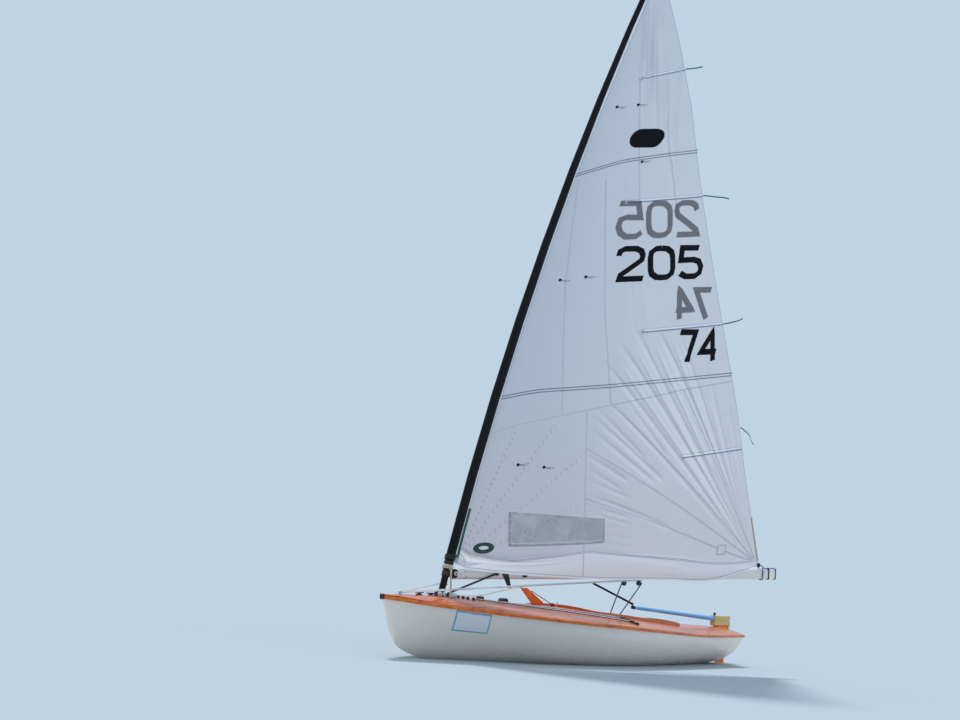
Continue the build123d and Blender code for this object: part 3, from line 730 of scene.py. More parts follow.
# Upright creases by the battens' front ends and folds down from the head: u, v of the middle,
# length and half width in metres, slope in degrees from the vertical, height in millimetres
BATTEN_CREASES = (
    (0.333, 0.801, 0.50, 0.030, -20, 10.0),
    (0.391, 0.584, 0.55, 0.030, -20, 9.0),
    (0.543, 0.369, 0.60, 0.035, -24, 7.0),
    (0.717, 0.169, 0.45, 0.030, -25, 6.0),
    (0.300, 0.700, 0.90, 0.050, -16, 7.0),
    (0.800, 0.480, 0.70, 0.050, -16, 7.0),
    (0.620, 0.480, 0.80, 0.060, -18, 5.0),
    (0.880, 0.330, 0.70, 0.040, -14, 6.0),
    (0.520, 0.900, 0.60, 0.036, -19, 22.0),
    (0.300, 0.860, 1.00, 0.028, -19, 30.0),
    (0.400, 0.850, 1.10, 0.024, -20, -22.0),
    (0.500, 0.820, 1.00, 0.026, -21, 28.0),
    (0.590, 0.780, 0.90, 0.023, -22, -21.0),
    (0.670, 0.740, 0.90, 0.025, -21, 25.0),
    (0.760, 0.690, 0.80, 0.024, -20, 21.0),
    (0.840, 0.780, 0.80, 0.024, -16, 19.0),
    (0.480, 0.430, 0.50, 0.018, -24, 6.0),
    (0.560, 0.410, 0.45, 0.016, -25, -6.0),
)
# Factor on the heights of the clew's creases
CREASE_DEPTH = 1.35
# Relief of the fold over the foot and of the short ripple over its after end
SHELF_RELIEF, RIPPLE_RELIEF = 0.034, 0.008


def from_metric(x, y):
    """Sail point (u, v) of a flat position."""
    v = np.asarray(y, float) / LUFF
    return (np.asarray(x, float) - LUFF_INSET) / chord(v), v


def ridge(distance, half_width):
    return np.exp(-(distance / half_width) ** 2)


def fade(x, start, end, soft=0.18):
    rise = np.clip((x - start) / soft, 0, 1)
    fall = np.clip((end - x) / (soft * 2.5), 0, 1)
    return (rise * rise * (3 - 2 * rise)) * (fall * fall * (3 - 2 * fall))


def fold_height(u):
    """Height over the foot of the long fold that runs aft from the tack."""
    x = chord(0) * np.clip(u, 0, 1)
    return FOLD_HEIGHT + FOLD_SLOPE * x + FOLD_CURVE * x ** 2


def creases(u, v):
    """Height of the wrinkles over the smooth surface, in metres."""
    x, y = metric(u, v)
    clew_x = LUFF_INSET + chord(0)
    dx, dy = clew_x - x, y + 0.02
    reach = np.hypot(dx, dy) + 1e-6
    angle = np.degrees(np.arctan2(dy, dx))
    total = np.zeros_like(reach)
    for far_angle, near_angle, start, end, half, height in CLEW_CREASES:
        at = near_angle + (far_angle - near_angle) * np.clip((reach - start) / (end - start), 0, 1)
        swell = np.clip(reach / min(end, 1.6), 0.15, 1)
        across = np.radians(angle - at) * reach
        depth = 0.001 * CREASE_DEPTH * height
        total += depth * ridge(across, 0.001 * half * swell) * fade(reach, start, end) * swell
    for cu, cv, length, half, lean, height in BATTEN_CREASES:
        cx, cy = metric(cu, cv)
        ang = math.radians(lean)
        along = (y - cy) * math.cos(ang) + (x - cx) * math.sin(ang)
        across = (x - cx) * math.cos(ang) - (y - cy) * math.sin(ang)
        total += 0.001 * height * ridge(across, half) * ridge(along, length / 2)
    over_fold = y - fold_height(u)
    shelf = ridge(over_fold + 0.014, 0.036) * np.clip(1.1 - u * 3.0, 0, 1) * np.clip(u * 30, 0, 1)
    ripple = ridge(over_fold - 0.035, 0.016) * ridge(u - 0.245, 0.06)
    total += SHELF_RELIEF * shelf + RIPPLE_RELIEF * ripple
    return total * np.clip((1 - u) * 14, 0, 1)


def sail_point(u, v, lift=0.0):
    """Point of the wrinkled sail, lifted off it towards port (or starboard if negative)."""
    u, v = np.asarray(u, float), np.asarray(v, float)
    n = sail_normal(u, v)
    return sail_base(u, v) + n * (creases(u, v) + lift)[..., None]


def add_uv(mesh, coords):
    """UV layer from one (u, v) pair per vertex."""
    layer = mesh.uv_layers.new(name="UVMap")
    flat = np.zeros(len(mesh.loops), int)
    mesh.loops.foreach_get("vertex_index", flat)
    layer.data.foreach_set("uv", np.asarray(coords, float)[flat].ravel())


def cloth_object(name, verts, faces, uvs, finish, body="rig"):
    """Thin object with one (u, v) pair per vertex."""
    mesh = mesh_from(name, verts, faces)
    add_uv(mesh, uvs)
    return new_object(name, mesh, finish, body)


def grid_faces(rows, columns):
    starts = (a for i in range(rows - 1) for a in range(i * columns, (i + 1) * columns - 1))
    return [(a, a + 1, a + columns + 1, a + columns) for a in starts]


# The sail's grid is finer in its lower and aft parts, where the creases are
SPLIT_U, SPLIT_V = 0.34, 0.42
COLUMNS_FORE, COLUMNS_AFT = 56, 190
ROWS_LOW, ROWS_HIGH = 215, 105
# Corners of the window: low fore, low aft, high aft, high fore
WINDOW = ((0.143, 0.034), (0.426, 0.043), (0.422, 0.072), (0.127, 0.078))


def uneven(split, first, second):
    """Values from 0 to 1 with one spacing before the split and another after it."""
    low = np.linspace(0, split, first, endpoint=False)
    return np.concatenate([low, np.linspace(split, 1, second)])


def make_sail():
    """The sail as one fine sheet, wrinkled, with the opening of its window left out."""
    us = uneven(SPLIT_U, COLUMNS_FORE, COLUMNS_AFT)
    vs = uneven(SPLIT_V, ROWS_LOW, ROWS_HIGH)
    u, v = (part.ravel() for part in np.meshgrid(us, vs))
    corners = [list(face) for face in grid_faces(len(vs), len(us))]
    faces = [face for face in corners if not in_window(u[face].mean(), v[face].mean())]
    uvs = np.stack(metric(u, v), -1)
    sail = cloth_object("sail_cloth", sail_point(u, v), faces, uvs, "sailcloth")
    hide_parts("sail")


def in_window(u, v):
    """True for a point inside the window's four corners."""
    sides = zip(WINDOW, WINDOW[1:] + WINDOW[:1])
    return all((ub - ua) * (v - va) >= (vb - va) * (u - ua) for (ua, va), (ub, vb) in sides)


def make_window():
    """Film that laps a little over the edges of its opening."""
    low_fore, low_aft, high_aft, high_fore = (np.array(corner) for corner in WINDOW)
    across, up = np.meshgrid(np.linspace(-0.02, 1.02, 60), np.linspace(-0.06, 1.06, 20))
    across, up = across.reshape(-1, 1), up.reshape(-1, 1)
    low = low_fore + (low_aft - low_fore) * across
    high = high_fore + (high_aft - high_fore) * across
    u, v = (low + (high - low) * up).T
    uvs = np.stack(metric(u, v), -1)
    cloth_object("sail_window", sail_point(u, v, 0.001), grid_faces(20, 60), uvs, WINDOW_FILM)


def reach_along(path):
    """Distance along a path at each of its points."""
    steps = np.linalg.norm(np.diff(path, axis=0), axis=1)
    return np.concatenate([[0], np.cumsum(steps)])


def thin_line(points, step):
    """Resampled polyline in the flat sail plane, with its mitred left-hand sides."""
    points = np.asarray(points, float)
    dense = [points[0]]
    for a, b in zip(points, points[1:]):
        count = max(1, int(np.hypot(*(b - a)) / step))
        for i in range(count):
            dense.append(a + (b - a) * (i + 1) / count)
    dense = np.array(dense)
    run = unit(np.diff(dense, axis=0))
    before, after = np.vstack([run[:1], run]), np.vstack([run, run[-1:]])
    mean = unit(before + after)
    left = np.stack([-mean[:, 1], mean[:, 0]], -1)
    stretch = 1 / np.maximum(0.5, (before * mean).sum(1))
    return dense, left * stretch[:, None]


def strip_widths(line, width, shape):
    """Width of a strip at each point: even, oval, or even with round ends."""
    at = reach_along(line)
    if shape == "oval":
        return width * np.sqrt(np.clip(1 - (2 * at / at[-1] - 1) ** 2, 0.0004, 1))
    if shape == "round":
        near = np.clip(1 - 2 * np.minimum(at, at[-1] - at) / width, 0, 0.99)
        return width * np.sqrt(1 - near ** 2)
    return np.full(len(line), width)


def strip_on_sail(points, width, lift, columns=2, step=0.02, shape="even"):
    """Vertices, faces and UVs of a strip that follows a line in the flat sail plane."""
    line, left = thin_line(points, step)
    widths = strip_widths(line, width, shape)[:, None]
    rows = [line + left * widths * f for f in np.linspace(-0.5, 0.5, columns)]
    flat = np.array(rows).transpose(1, 0, 2).reshape(-1, 2)
    return sail_point(*from_metric(*flat.T), lift), grid_faces(len(line), columns), flat


def join_strips(name, strips, material):
    """One object of several strips."""
    verts, faces, uvs = [], [], []
    for points, quads, flat in strips:
        faces += [tuple(i + len(verts) for i in quad) for quad in quads]
        verts.extend(points)
        uvs.extend(flat)
    cloth_object(name, verts, faces, uvs, material)


def sew_on(name, lines, width, material, lift=0.0012, columns=2, step=0.02, shape="even"):
    """Strips along flat lines, on both sides of the sail."""
    strips = [strip_on_sail(line, width, side * lift, columns, step, shape)
              for line in lines for side in (1, -1)]
    join_strips(name, strips, material)


def curve_points(uv_points, count=24):
    """Smooth flat curve through a few (u, v) points."""
    flat = flat_points(uv_points)
    f = np.linspace(0, 1, count)
    return np.stack([smooth_value(flat[:, 0], f), smooth_value(flat[:, 1], f)], -1)


TACK_SEAM_START = (0.010, 0.005)
TACK_SEAM_ENDS = ((0.088, 0.215), (0.235, 0.232), (0.345, 0.177), (0.354, 0.098))
TACK_STITCH_PITCH = 0.055


def make_tack_seams():
    """Zigzag stitching that runs up from the tack: short slanting bars."""
    bars = []
    for corner in TACK_SEAM_ENDS:
        start, end = flat_points((TACK_SEAM_START, corner))
        length = np.hypot(*(end - start))
        run = (end - start) / length
        slant = run * 0.008 + np.array([-run[1], run[0]]) * 0.012
        for i in range(1, int(length / TACK_STITCH_PITCH)):
            at = start + run * (TACK_STITCH_PITCH * i)
            bars.append([at - slant, at + slant])
    sew_on("tack_stitching", bars, 0.0040, STITCH_GREY, 0.0016)


def make_battens():
    """Dark cords that lie in the batten pockets' lower edges, and their end patches."""
    lines = [curve_points(batten, 12) for batten in BATTENS]
    cords = [line - (0, 0.010) for line in lines]
    sew_on("batten_cords", cords, 0.0055, painted("cord_ink", (0.10, 0.15, 0.28), 0.7), 0.0042)
    patches = [[line[0] - (0.012, 0), line[0] + (0.020, 0)] for line in lines]
    sew_on("batten_patches", patches, 0.046, TAPE_WHITE, 0.0035, 3)


def make_stripes():
    """Two pairs of fine dark lines across the sail that show its draft."""
    stripes = [curve_points(stripe, 40) + (0, shift)
               for stripe in DRAFT_STRIPES for shift in (-0.013, 0.013)]
    sew_on("draft_stripes", stripes, 0.007, painted("stripe_ink", (0.16, 0.18, 0.24), 0.6), 0.0014)


# Tapes: name, edge of the sail, distance from it, height of the upper end, width and material
TAPES = (
    ("tack_tape", 0.001, 0.018, 0.55, 0.020, TAPE_GREEN),
    ("clew_tape", 1.0, -0.010, 0.50, 0.014, TAPE_CREAM),
)


def make_tapes():
    """Coloured tapes on the luff over the tack and on the leech over the clew."""
    for name, u, inset, top, width, material in TAPES:
        x, y = metric(np.full(120, u), np.linspace(0, 1, 120))
        low = (y > 0.02) & (y < top)
        sew_on(name, [np.stack([x + inset, y], -1)[low]], width, material, 0.003)


# Numerals: strokes in a cell 2 wide and 3 high
NUMERAL_STROKES = {
    "2": (((0.0, 2.3), (0.12, 2.75), (0.55, 3.0), (1.45, 3.0), (1.88, 2.75), (2.0, 2.3), (1.9, 1.85),
           (0.12, 0.42), (0.0, 0.0), (2.0, 0.0)),),
    "0": (((1.0, 3.0), (0.5, 2.95), (0.1, 2.6), (0.0, 2.1), (0.0, 0.9), (0.1, 0.4), (0.5, 0.05), (1.0, 0.0),
           (1.5, 0.05), (1.9, 0.4), (2.0, 0.9), (2.0, 2.1), (1.9, 2.6), (1.5, 2.95), (1.0, 3.0)),),
    "7": (((0.0, 3.0), (2.0, 3.0), (0.75, 0.0)),),
    "4": (((1.55, 0.0), (1.55, 3.0), (0.0, 0.95), (2.0, 0.95)),),
    "5": (((1.85, 3.0), (0.25, 3.0), (0.1, 1.7), (1.3, 1.75), (1.8, 1.55), (2.0, 0.95), (1.85, 0.35),
           (1.4, 0.0), (0.5, 0.0), (0.0, 0.35)),),
}
# text, then the row's corners as (u, v): low fore, low aft, high fore, high aft, then the
# side of the sail (1 is port)
NUMBER_ROWS = (
    ("205", (0.392, 0.449), (0.915, 0.456), (0.367, 0.509), (0.943, 0.511), 1),
    ("74", (0.722, 0.314), (0.932, 0.318), (0.735, 0.372), (0.961, 0.372), 1),
    ("205", (0.359, 0.520), (0.926, 0.526), (0.319, 0.586), (0.962, 0.587), -1),
    ("74", (0.712, 0.384), (0.944, 0.386), (0.723, 0.441), (0.976, 0.442), -1),
)
NUMBER_STROKE = 0.058


def numeral_strokes(text, side):
    """Strokes of one row in a unit square, mirrored for the starboard side."""
    pitch = 1.32
    cell = 1 / (1 + pitch * (len(text) - 1))
    strokes = []
    for i, figure in enumerate(text):
        for stroke in NUMERAL_STROKES[figure]:
            row = [(cell * (i * pitch + x / 2), y / 3) for x, y in stroke]
            if side < 0:
                row = [(1 - x, y) for x, y in row]
            strokes.append(row)
    return strokes


def make_numbers():
    """Plain stick-on numerals on both sides of the sail."""
    strips = []
    for text, low_fore, low_aft, high_fore, high_aft, side in NUMBER_ROWS:
        a, b, c, d = flat_points((low_fore, low_aft, high_fore, high_aft))
        inset = 0.5 * NUMBER_STROKE / np.hypot(*(b - a))
        rise = 0.5 * NUMBER_STROKE / np.hypot(*(c - a))
        for stroke in numeral_strokes(text, side):
            flat = []
            for x, y in stroke:
                x, y = inset + x * (1 - 2 * inset), rise + y * (1 - 2 * rise)
                flat.append((a * (1 - x) + b * x) * (1 - y) + (c * (1 - x) + d * x) * y)
            strips.append(strip_on_sail(flat, NUMBER_STROKE, side * 0.0022, 4, 0.012))
    join_strips("sail_numbers", strips, BLACK_VINYL)


# Plain marks on both sides: name, material, ends of the middle line, width, lift, columns, shape
MARKS = (
    ("class_mark", BLACK_VINYL, ((0.340, 0.694), (0.655, 0.694)), 0.195, 0.0022, 12, "round"),
    ("tack_mark", DARK_GREEN, ((0.041, 0.026), (0.099, 0.029)), 0.085, 0.0022, 8, "oval"),
    ("tack_mark_centre", WHITE_VINYL, ((0.056, 0.027), (0.084, 0.028)), 0.030, 0.003, 4, "oval"),
)
# The bare label by the clew and its edge: name, material, ends of the middle line, width and lift
LABELS = (
    ("sail_label_edge", STITCH_GREY, ((0.841, 0.031), (0.875, 0.0305)), 0.072, 0.0022),
    ("sail_label", WHITE_VINYL, ((0.844, 0.031), (0.872, 0.0305)), 0.060, 0.003),
)


def make_marks():
    """A black bar high on the sail, an oval ring by the tack and a bare label on the port side."""
    for name, material, ends, width, lift, columns, shape in MARKS:
        sew_on(name, [flat_points(ends)], width, material, lift, columns, 0.01, shape)
    for name, material, ends, width, lift in LABELS:
        join_strips(name, [strip_on_sail(flat_points(ends), width, lift, 4)], material)


def make_window_edge():
    """Binding tape round the window."""
    corners = flat_points(WINDOW + WINDOW[:1])
    sew_on("window_binding", list(zip(corners, corners[1:])), 0.024, WINDOW_EDGE, 0.0025, 3)


TELL_TALES = ((0.146, 0.750), (0.356, 0.753), (0.476, 0.653), (0.105, 0.453), (0.229, 0.458),
              (0.118, 0.154), (0.204, 0.151))


def make_tell_tales():
    """Round patches that hold short wool threads, which lie aft along the cloth."""
    dots, threads = [], []
    for i, (x, y) in enumerate(flat_points(TELL_TALES)):
        dots.append([(x - 0.014, y), (x + 0.014, y)])
        for reach, slope in ((0.10, 4), (0.075, 16)):
            angle = math.radians(slope - 5 * (i % 3))
            threads.append([(x, y), (x + reach * math.cos(angle), y - reach * math.sin(angle))])
    sew_on("tell_tale_dots", dots, 0.028, BLACK_VINYL, 0.003, 5, 0.004, "oval")
    sew_on("tell_tale_threads", threads, 0.0024, BLACK_VINYL, 0.0036)


RIBBON_WIDTH, RIBBON_STEPS = 0.012, 25
# Leech ribbons: height on the leech, length and rise of the end in metres
RIBBONS = ((0.8165, 0.20, 0.02), (0.5945, 0.34, -0.03), (0.3815, 0.26, 0.05), (0.215, 0.20, -0.16))


def make_ribbons():
    """Narrow cloth ribbons that stream aft from the leech at the batten ends."""
    for i, (v, length, lift) in enumerate(RIBBONS):
        root = sail_point(1.0, v)
        aft = unit(sail_base(1.0, v) - sail_base(0.98, v))
        side = sail_normal(0.995, v)
        verts, uvs = [], []
        for f in np.linspace(0, 1, RIBBON_STEPS):
            wave = 0.014 * math.sin(f * 9 + i) * f
            middle = root + aft * (length * f - 0.004) + side * wave + (0, 0, lift * f ** 1.5)
            for edge in (-RIBBON_WIDTH / 2, RIBBON_WIDTH / 2):
                verts.append(middle + (0, 0, edge))
                uvs.append((length * f, edge))
        faces = grid_faces(RIBBON_STEPS, 2)
        ribbon = cloth_object("leech_ribbon_%d" % i, verts, faces, uvs, TAPE_GREEN)


# Lines and fittings

def smooth_path(points, step=0.02):
    """Dense points on a smooth curve through the given ones."""
    points = np.asarray(points, float)
    f = np.linspace(0, 1, max(3, int(reach_along(points)[-1] / step) + 1))
    return np.stack([smooth_value(points[:, i], f) for i in range(3)], -1)


def circle(centre, a, b, radius, sides):
    turns = 2 * math.pi * np.arange(sides)[:, None] / sides
    return list(centre + radius * (a * np.cos(turns) + b * np.sin(turns)))


def tube_faces(rings, sides):
    """Faces of a tube made of rings, closed at both ends."""
    faces = [(i + k, i + (k + 1) % sides, i + (k + 1) % sides + sides, i + k + sides)
             for i in range(0, (rings - 1) * sides, sides) for k in range(sides)]
    last = (rings - 1) * sides
    return faces + [tuple(reversed(range(sides))), tuple(range(last, last + sides))]


def tube_mesh(name, path, radius, sides=8):
    """Round tube along a path, with UVs in metres along and turns around."""
    run = unit(np.gradient(path, axis=0))
    side = np.cross(run[0], (0.31, 0.53, 0.79))
    verts, uvs = [], []
    for point, direction, reach in zip(path, run, reach_along(path)):
        side = unit(side - direction * side.dot(direction))
        verts += circle(point, side, np.cross(direction, side), radius, sides)
        uvs += [(reach, k / sides) for k in range(sides)]
    mesh = mesh_from(name, verts, tube_faces(len(path), sides))
    add_uv(mesh, uvs)
    return mesh


def rope(name, points, radius, material, body):
    """Rope through the given points that moves with one body."""
    mesh = tube_mesh(name, smooth_path(points, radius * 2.5), radius)
    new_object(name, mesh, material, body)


def rope_between(name, points, radius, material, sides=8):
    """Taut rope through the given points."""
    mesh = tube_mesh(name, smooth_path(points, 0.03), radius, sides)
    obj = new_object(name, mesh, material)
    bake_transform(obj)


def lashing(name, centre, axis, radius, turns, pitch, thickness, material, body, start=0.0):
    """A few rope turns around an axis."""
    axis = unit(axis)
    a = unit(np.cross(axis, (0.2, 0.9, 0.1)))
    f = np.linspace(0, 1, int(turns * 16) + 1)[:, None]
    angle = start + 2 * math.pi * turns * f
    around = a * np.cos(angle) + np.cross(axis, a) * np.sin(angle)
    points = centre + axis * (pitch * turns * (f - 0.5)) + radius * around
    rope(name, points, thickness, material, body)


def soften(mesh, width):
    """Rounds every sharp edge of a mesh."""
    work = bmesh.new()
    work.from_mesh(mesh)
    sharp = [e for e in work.edges if len(e.link_faces) == 2 and e.calc_face_angle(0) > 0.5]
    bmesh.ops.bevel(work, geom=sharp, offset=width, segments=2, affect="EDGES", profile=0.6)
    work.to_mesh(mesh)
    work.free()
    for polygon in mesh.polygons:
        polygon.use_smooth = True


def plate(name, origin, across, up, outline, thickness, finish, body, soft):
    """Rounded plate: an outline in the plane of two directions, centred on its thickness."""
    across = unit(across)
    up = unit(up - across * across.dot(up))
    normal = np.cross(across, up)
    verts = [origin + across * x + up * y + normal * side * thickness
             for side in (-0.5, 0.5) for x, y in outline]
    mesh = mesh_from(name, verts, tube_faces(2, len(outline)))
    soften(mesh, soft)
    new_object(name, mesh, finish, body)


def turned(name, base, axis, profile, finish, body, sides=28):
    """Turned part: (height along the axis, radius) pairs, closed at both ends."""
    axis = unit(axis)
    a = unit(np.cross(axis, (0.23, 0.87, 0.41)))
    b = np.cross(axis, a)
    verts = []
    for height, radius in profile:
        verts += circle(np.asarray(base) + axis * height, a, b, radius, sides)
    new_object(name, mesh_from(name, verts, tube_faces(len(profile), sides)), finish, body)


def wheel(name, centre, axis, radius, width, finish, body, bevel=(0.003, 0.004), sides=28):
    """Round block or ring centred on a point. Its bevel is given along and across the axis."""
    half, (rise, inset) = width / 2, bevel
    rim = radius - inset
    profile = ((-half, rim), (rise - half, radius), (half - rise, radius), (half, rim))
    turned(name, centre, axis, profile, finish, body, sides=sides)


def tree_of(*nodes):
    """Search tree over the faces of CAD nodes."""
    verts, faces = [], []
    for node in nodes:
        mesh = frame["nodes"][node].data
        base = len(verts)
        verts += [v.co.copy() for v in mesh.vertices]
        faces += [tuple(i + base for i in p.vertices) for p in mesh.polygons]
    return BVHTree.FromPolygons(verts, faces)


DECK_TREE = tree_of("foredeck", "aft_deck", "side_deck_port", "side_deck_starboard")
HULL_TREE = tree_of("hull_shell")


def on_deck(x, y, lift=0.0):
    """Point at a height over the deck's upper surface."""
    hit = DECK_TREE.ray_cast(Vector((x, y, 1.0)), Vector((0, 0, -1)))
    return np.array([x, y, hit[0].z + lift])


# Boom directions: along it, out to port, and up
BOOM_ALONG = unit(BOOM_AFT - BOOM_FORE)
BOOM_PORT = unit(np.cross((0, 0, 1), -BOOM_ALONG))
BOOM_UP = np.cross(-BOOM_ALONG, BOOM_PORT)
BOOM_HALF_WIDTH = 0.031
BOOM_HALF_DEPTH = 0.050
# Heights on the mast over the deck
RETURN_AT, DOWNHAUL_AT, GOOSENECK_AT, STROP_AT = 0.088, 0.245, 0.285, 0.335
# Distances along the boom
VANG_AT = 0.43
SHEET_BLOCKS_AT = (1.80, 2.02)
# Fixed points on the hull and the board
BOW_EYE = np.array([4.77, 0.0, 0.568])
SHEET_BASE = np.array([1.80, 0.0, 0.182])
BOARD_TIP = np.array([3.066, 0.0, 0.660])


def boom_at(t, port=0.0, up=0.0):
    """Point at distance t along the boom axis, moved to port and up."""
    return np.array(BOOM_FORE) + BOOM_ALONG * t + BOOM_PORT * port + BOOM_UP * up


def make_tack_fittings():
    """Ring, lashings and sheave block where boom, mast and sail meet."""
    wheel("gooseneck_ring", mast_axis(GOOSENECK_AT), MAST_DIR, 0.044, 0.022, "black_plastic", "rig",
          (0.002, 0.008))
    lashing("tack_strop", mast_axis(STROP_AT), MAST_DIR, 0.046, 4, 0.011, 0.0045, ROPE_BLACK, "rig")
    tack = sail_point(0.004, 0.006)
    lashing("tack_lashing_white", tack, (0, 0, 1), 0.017, 3, 0.011, 0.0035, ROPE_WHITE, "rig")
    above = tack + (0, 0, 0.034)
    lashing("tack_lashing_blue", above, (0.1, 0.2, 1), 0.017, 3, 0.010, 0.0035, ROPE_BLUE, "rig")
    line = mast_axis(DOWNHAUL_AT)
    lashing("downhaul_turns", line, MAST_DIR, 0.044, 3, 0.013, 0.006, ROPE_CREAM, "rig", 0.5)
    knot = mast_axis(DOWNHAUL_AT - 0.005) + (0.012, 0.050, 0.0)
    lashing("downhaul_knot", knot, (0.5, 0.5, 0.4), 0.012, 2.5, 0.010, 0.006, ROPE_CREAM, "rig")
    hub = boom_at(0.008, BOOM_HALF_WIDTH + 0.006, 0.002)
    turn = np.linspace(0, 2 * math.pi, 28, endpoint=False)
    cheek = [(0.027 * math.cos(a), 0.041 * math.sin(a)) for a in turn]
    plate("boom_sheave", hub, BOOM_ALONG, BOOM_UP, cheek, 0.020, "black_plastic", "rig", 0.004)
    turned("boom_sheave_cap", hub + BOOM_PORT * 0.016, BOOM_PORT,
           ((0, 0.018), (0.006, 0.018), (0.010, 0.015), (0.010, 0.010), (0.006, 0.009)),
           WHITE_VINYL, "rig", 24)
    turned("boom_sheave_pin", hub + BOOM_PORT * 0.020, BOOM_PORT,
           ((0, 0.009), (0.004, 0.009), (0.006, 0.006)), "black_plastic", "rig", sides=16)


BOOM_RIVETS = ((0.075, -0.006), (0.118, 0.016), (0.125, -0.030), (2.57, -0.008), (3.05, 0.004))


def make_boom_fittings():
    """Strap, fairlead and rivets along the boom."""
    face = BOOM_HALF_WIDTH + 0.003
    strap = ((0.0, 0.012), (0.067, 0.012), (0.105, -0.128), (0.070, -0.128))
    plate("boom_strap", boom_at(0.495, face), BOOM_ALONG, BOOM_UP, strap, 0.005, "webbing", "rig", 0.001)
    half_round = [(0.027 * math.cos(a), -0.020 * math.sin(a)) for a in np.linspace(0, math.pi, 11)]
    plate("boom_fairlead", boom_at(0.735, face + 0.004, -0.012), BOOM_ALONG, BOOM_UP, half_round,
          0.014, "black_plastic", "rig", 0.0025)
    for i, (t, up) in enumerate(BOOM_RIVETS):
        turned("boom_rivet_%d" % i, boom_at(t, BOOM_HALF_WIDTH - 0.001, up), BOOM_PORT,
               ((0, 0.0055), (0.0022, 0.0050), (0.0034, 0.003)), "carbon", "rig", sides=12)


def make_vang():
    """Two-part tackle from the deck behind the mast up to the boom, with a block at each end."""
    foot = on_deck(4.090, 0.0, 0.034)
    head = boom_at(VANG_AT, BOOM_HALF_WIDTH + 0.022, 0.004)
    for i, gap in enumerate((-0.009, 0.009)):
        ends = [foot + (0, gap, 0), head + (0, gap, 0)]
        rope_between("vang_fall_%d" % i, ends, 0.0058, ROPE_BLACK)
    wheel("vang_boom_block", head, BOOM_PORT, 0.018, 0.032, "black_plastic", "rig")
    wheel("vang_foot_block", foot - (0, 0, 0.012), (0, 1, 0), 0.020, 0.034, "black_plastic", "hull")


def make_downhaul():
    """Cream line from the gooseneck straight down to a deck eye beside the mast."""
    top = mast_axis(DOWNHAUL_AT - 0.010) + (0.010, 0.052, 0.0)
    foot = on_deck(4.135, 0.052, 0.006)
    rope_between("downhaul", [top, foot], 0.0085, ROPE_CREAM, 10)
    turned("downhaul_eye", foot - (0, 0, 0.008), (0, 0, 1),
           ((0, 0.016), (0.004, 0.016), (0.008, 0.010), (0.014, 0.011)), "steel", "hull")


def make_bow_lines():
    """White line from the bow eye to the boom, and its other part round the mast."""
    block = boom_at(SHEET_BLOCKS_AT[1], 0.0, -BOOM_HALF_DEPTH - 0.004)
    route = [BOW_EYE, (BOW_EYE + block) / 2, block]
    rope_between("bow_line", route, 0.0088, ROPE_WHITE)
    behind = mast_axis(RETURN_AT) + [(0.012, -0.044, 0.0), (-0.030, -0.034, 0.0), (-0.044, 0.0, 0.0)]
    rope("bow_line_return", [BOW_EYE, *behind], 0.0075, ROPE_WHITE, "hull")
    lashing("bow_line_knot", behind[-1], (0.2, 1, 0.3), 0.008, 2, 0.010, 0.005, ROPE_WHITE, "hull")
    lashing("bow_eye_turns", BOW_EYE, (0, 1, 0), 0.012, 1.5, 0.013, 0.0056, ROPE_WHITE, "hull")


def make_board_lines():
    """Board lines: up from the mast foot, down to a cleat, and a post ahead of the cockpit."""
    points = [on_deck(4.047, 0.012, 0.010), (3.70, 0.006, 0.564), (3.41, 0.003, 0.606), BOARD_TIP]
    rope_between("board_up_line", points, 0.0070, ROPE_WHITE)
    lashing("board_tip_knot", BOARD_TIP, (0.1, 1, 0.1), 0.011, 2, 0.005, 0.0042, ROPE_PINK, "centreboard")
    low = on_deck(2.640, 0.042, 0.018)
    rope_between("board_down_line", [(2.925, 0.010, 0.625), low], 0.0042, ROPE_RED)
    turned("board_line_cleat", low - (0, 0, 0.018), (0, 0, 1),
           ((0, 0.024), (0.006, 0.024), (0.014, 0.014), (0.020, 0.013), (0.026, 0.020), (0.030, 0.017)),
           DARK_RED, "hull")
    turned("cockpit_post", on_deck(2.512, 0.0, -0.002), (0, 0, 1),
           ((0, 0.0075), (0.048, 0.006), (0.052, 0.003)), WHITE_VINYL, "hull", 16)


# Control lines over the foredeck: places of the block, of a point on the way and of the cleat
CONTROL_LINES = (
    (ROPE_WHITE, (4.035, 0.060), (2.95, 0.345), (2.20, 0.520)),
    (ROPE_NAVY, (4.010, 0.095), (2.95, 0.400), (2.20, 0.575)),
    (ROPE_WHITE, (3.985, 0.130), (2.95, 0.455), (2.20, 0.630)),
    (ROPE_BLACK, (3.950, 0.165), (2.95, 0.510), (2.20, 0.685)),
)
CAM_CLEAT = ((-0.030, 0.0), (0.030, 0.0), (0.026, 0.016), (-0.010, 0.020), (-0.026, 0.014))


def make_control_lines():
    """Sail control lines that run aft over the deck on both sides, from blocks to cam cleats."""
    for i, (material, *places) in enumerate(CONTROL_LINES):
        for side, name in ((1, "port"), (-1, "starboard")):
            tag = "%d_%s" % (i, name)
            flat = smooth_path([(x, side * y, 0.0) for x, y in places], 0.05)
            path = [on_deck(x, y, 0.010) for x, y, _ in flat]
            rope("control_line_" + tag, path, 0.0038, material, "hull")
            wheel("control_block_" + tag, path[0], (0, 1, 0), 0.014, 0.018, "black_plastic", "hull",
                  (0.003, 0.003), 20)
            end = path[-1] - (0, 0, 0.011)
            plate("cam_cleat_" + tag, end, path[-2] - path[-1], (0, 0, 1), CAM_CLEAT,
                  0.030, "black_plastic", "hull", 0.003)


# Blocks at the mast foot: place and lean of the strop
FOOT_BLOCKS = ((4.285, 0.055, 0.2), (4.250, 0.075, -0.5), (4.165, 0.085, 0.9),
               (4.120, 0.072, 0.3), (4.075, 0.060, -0.7))


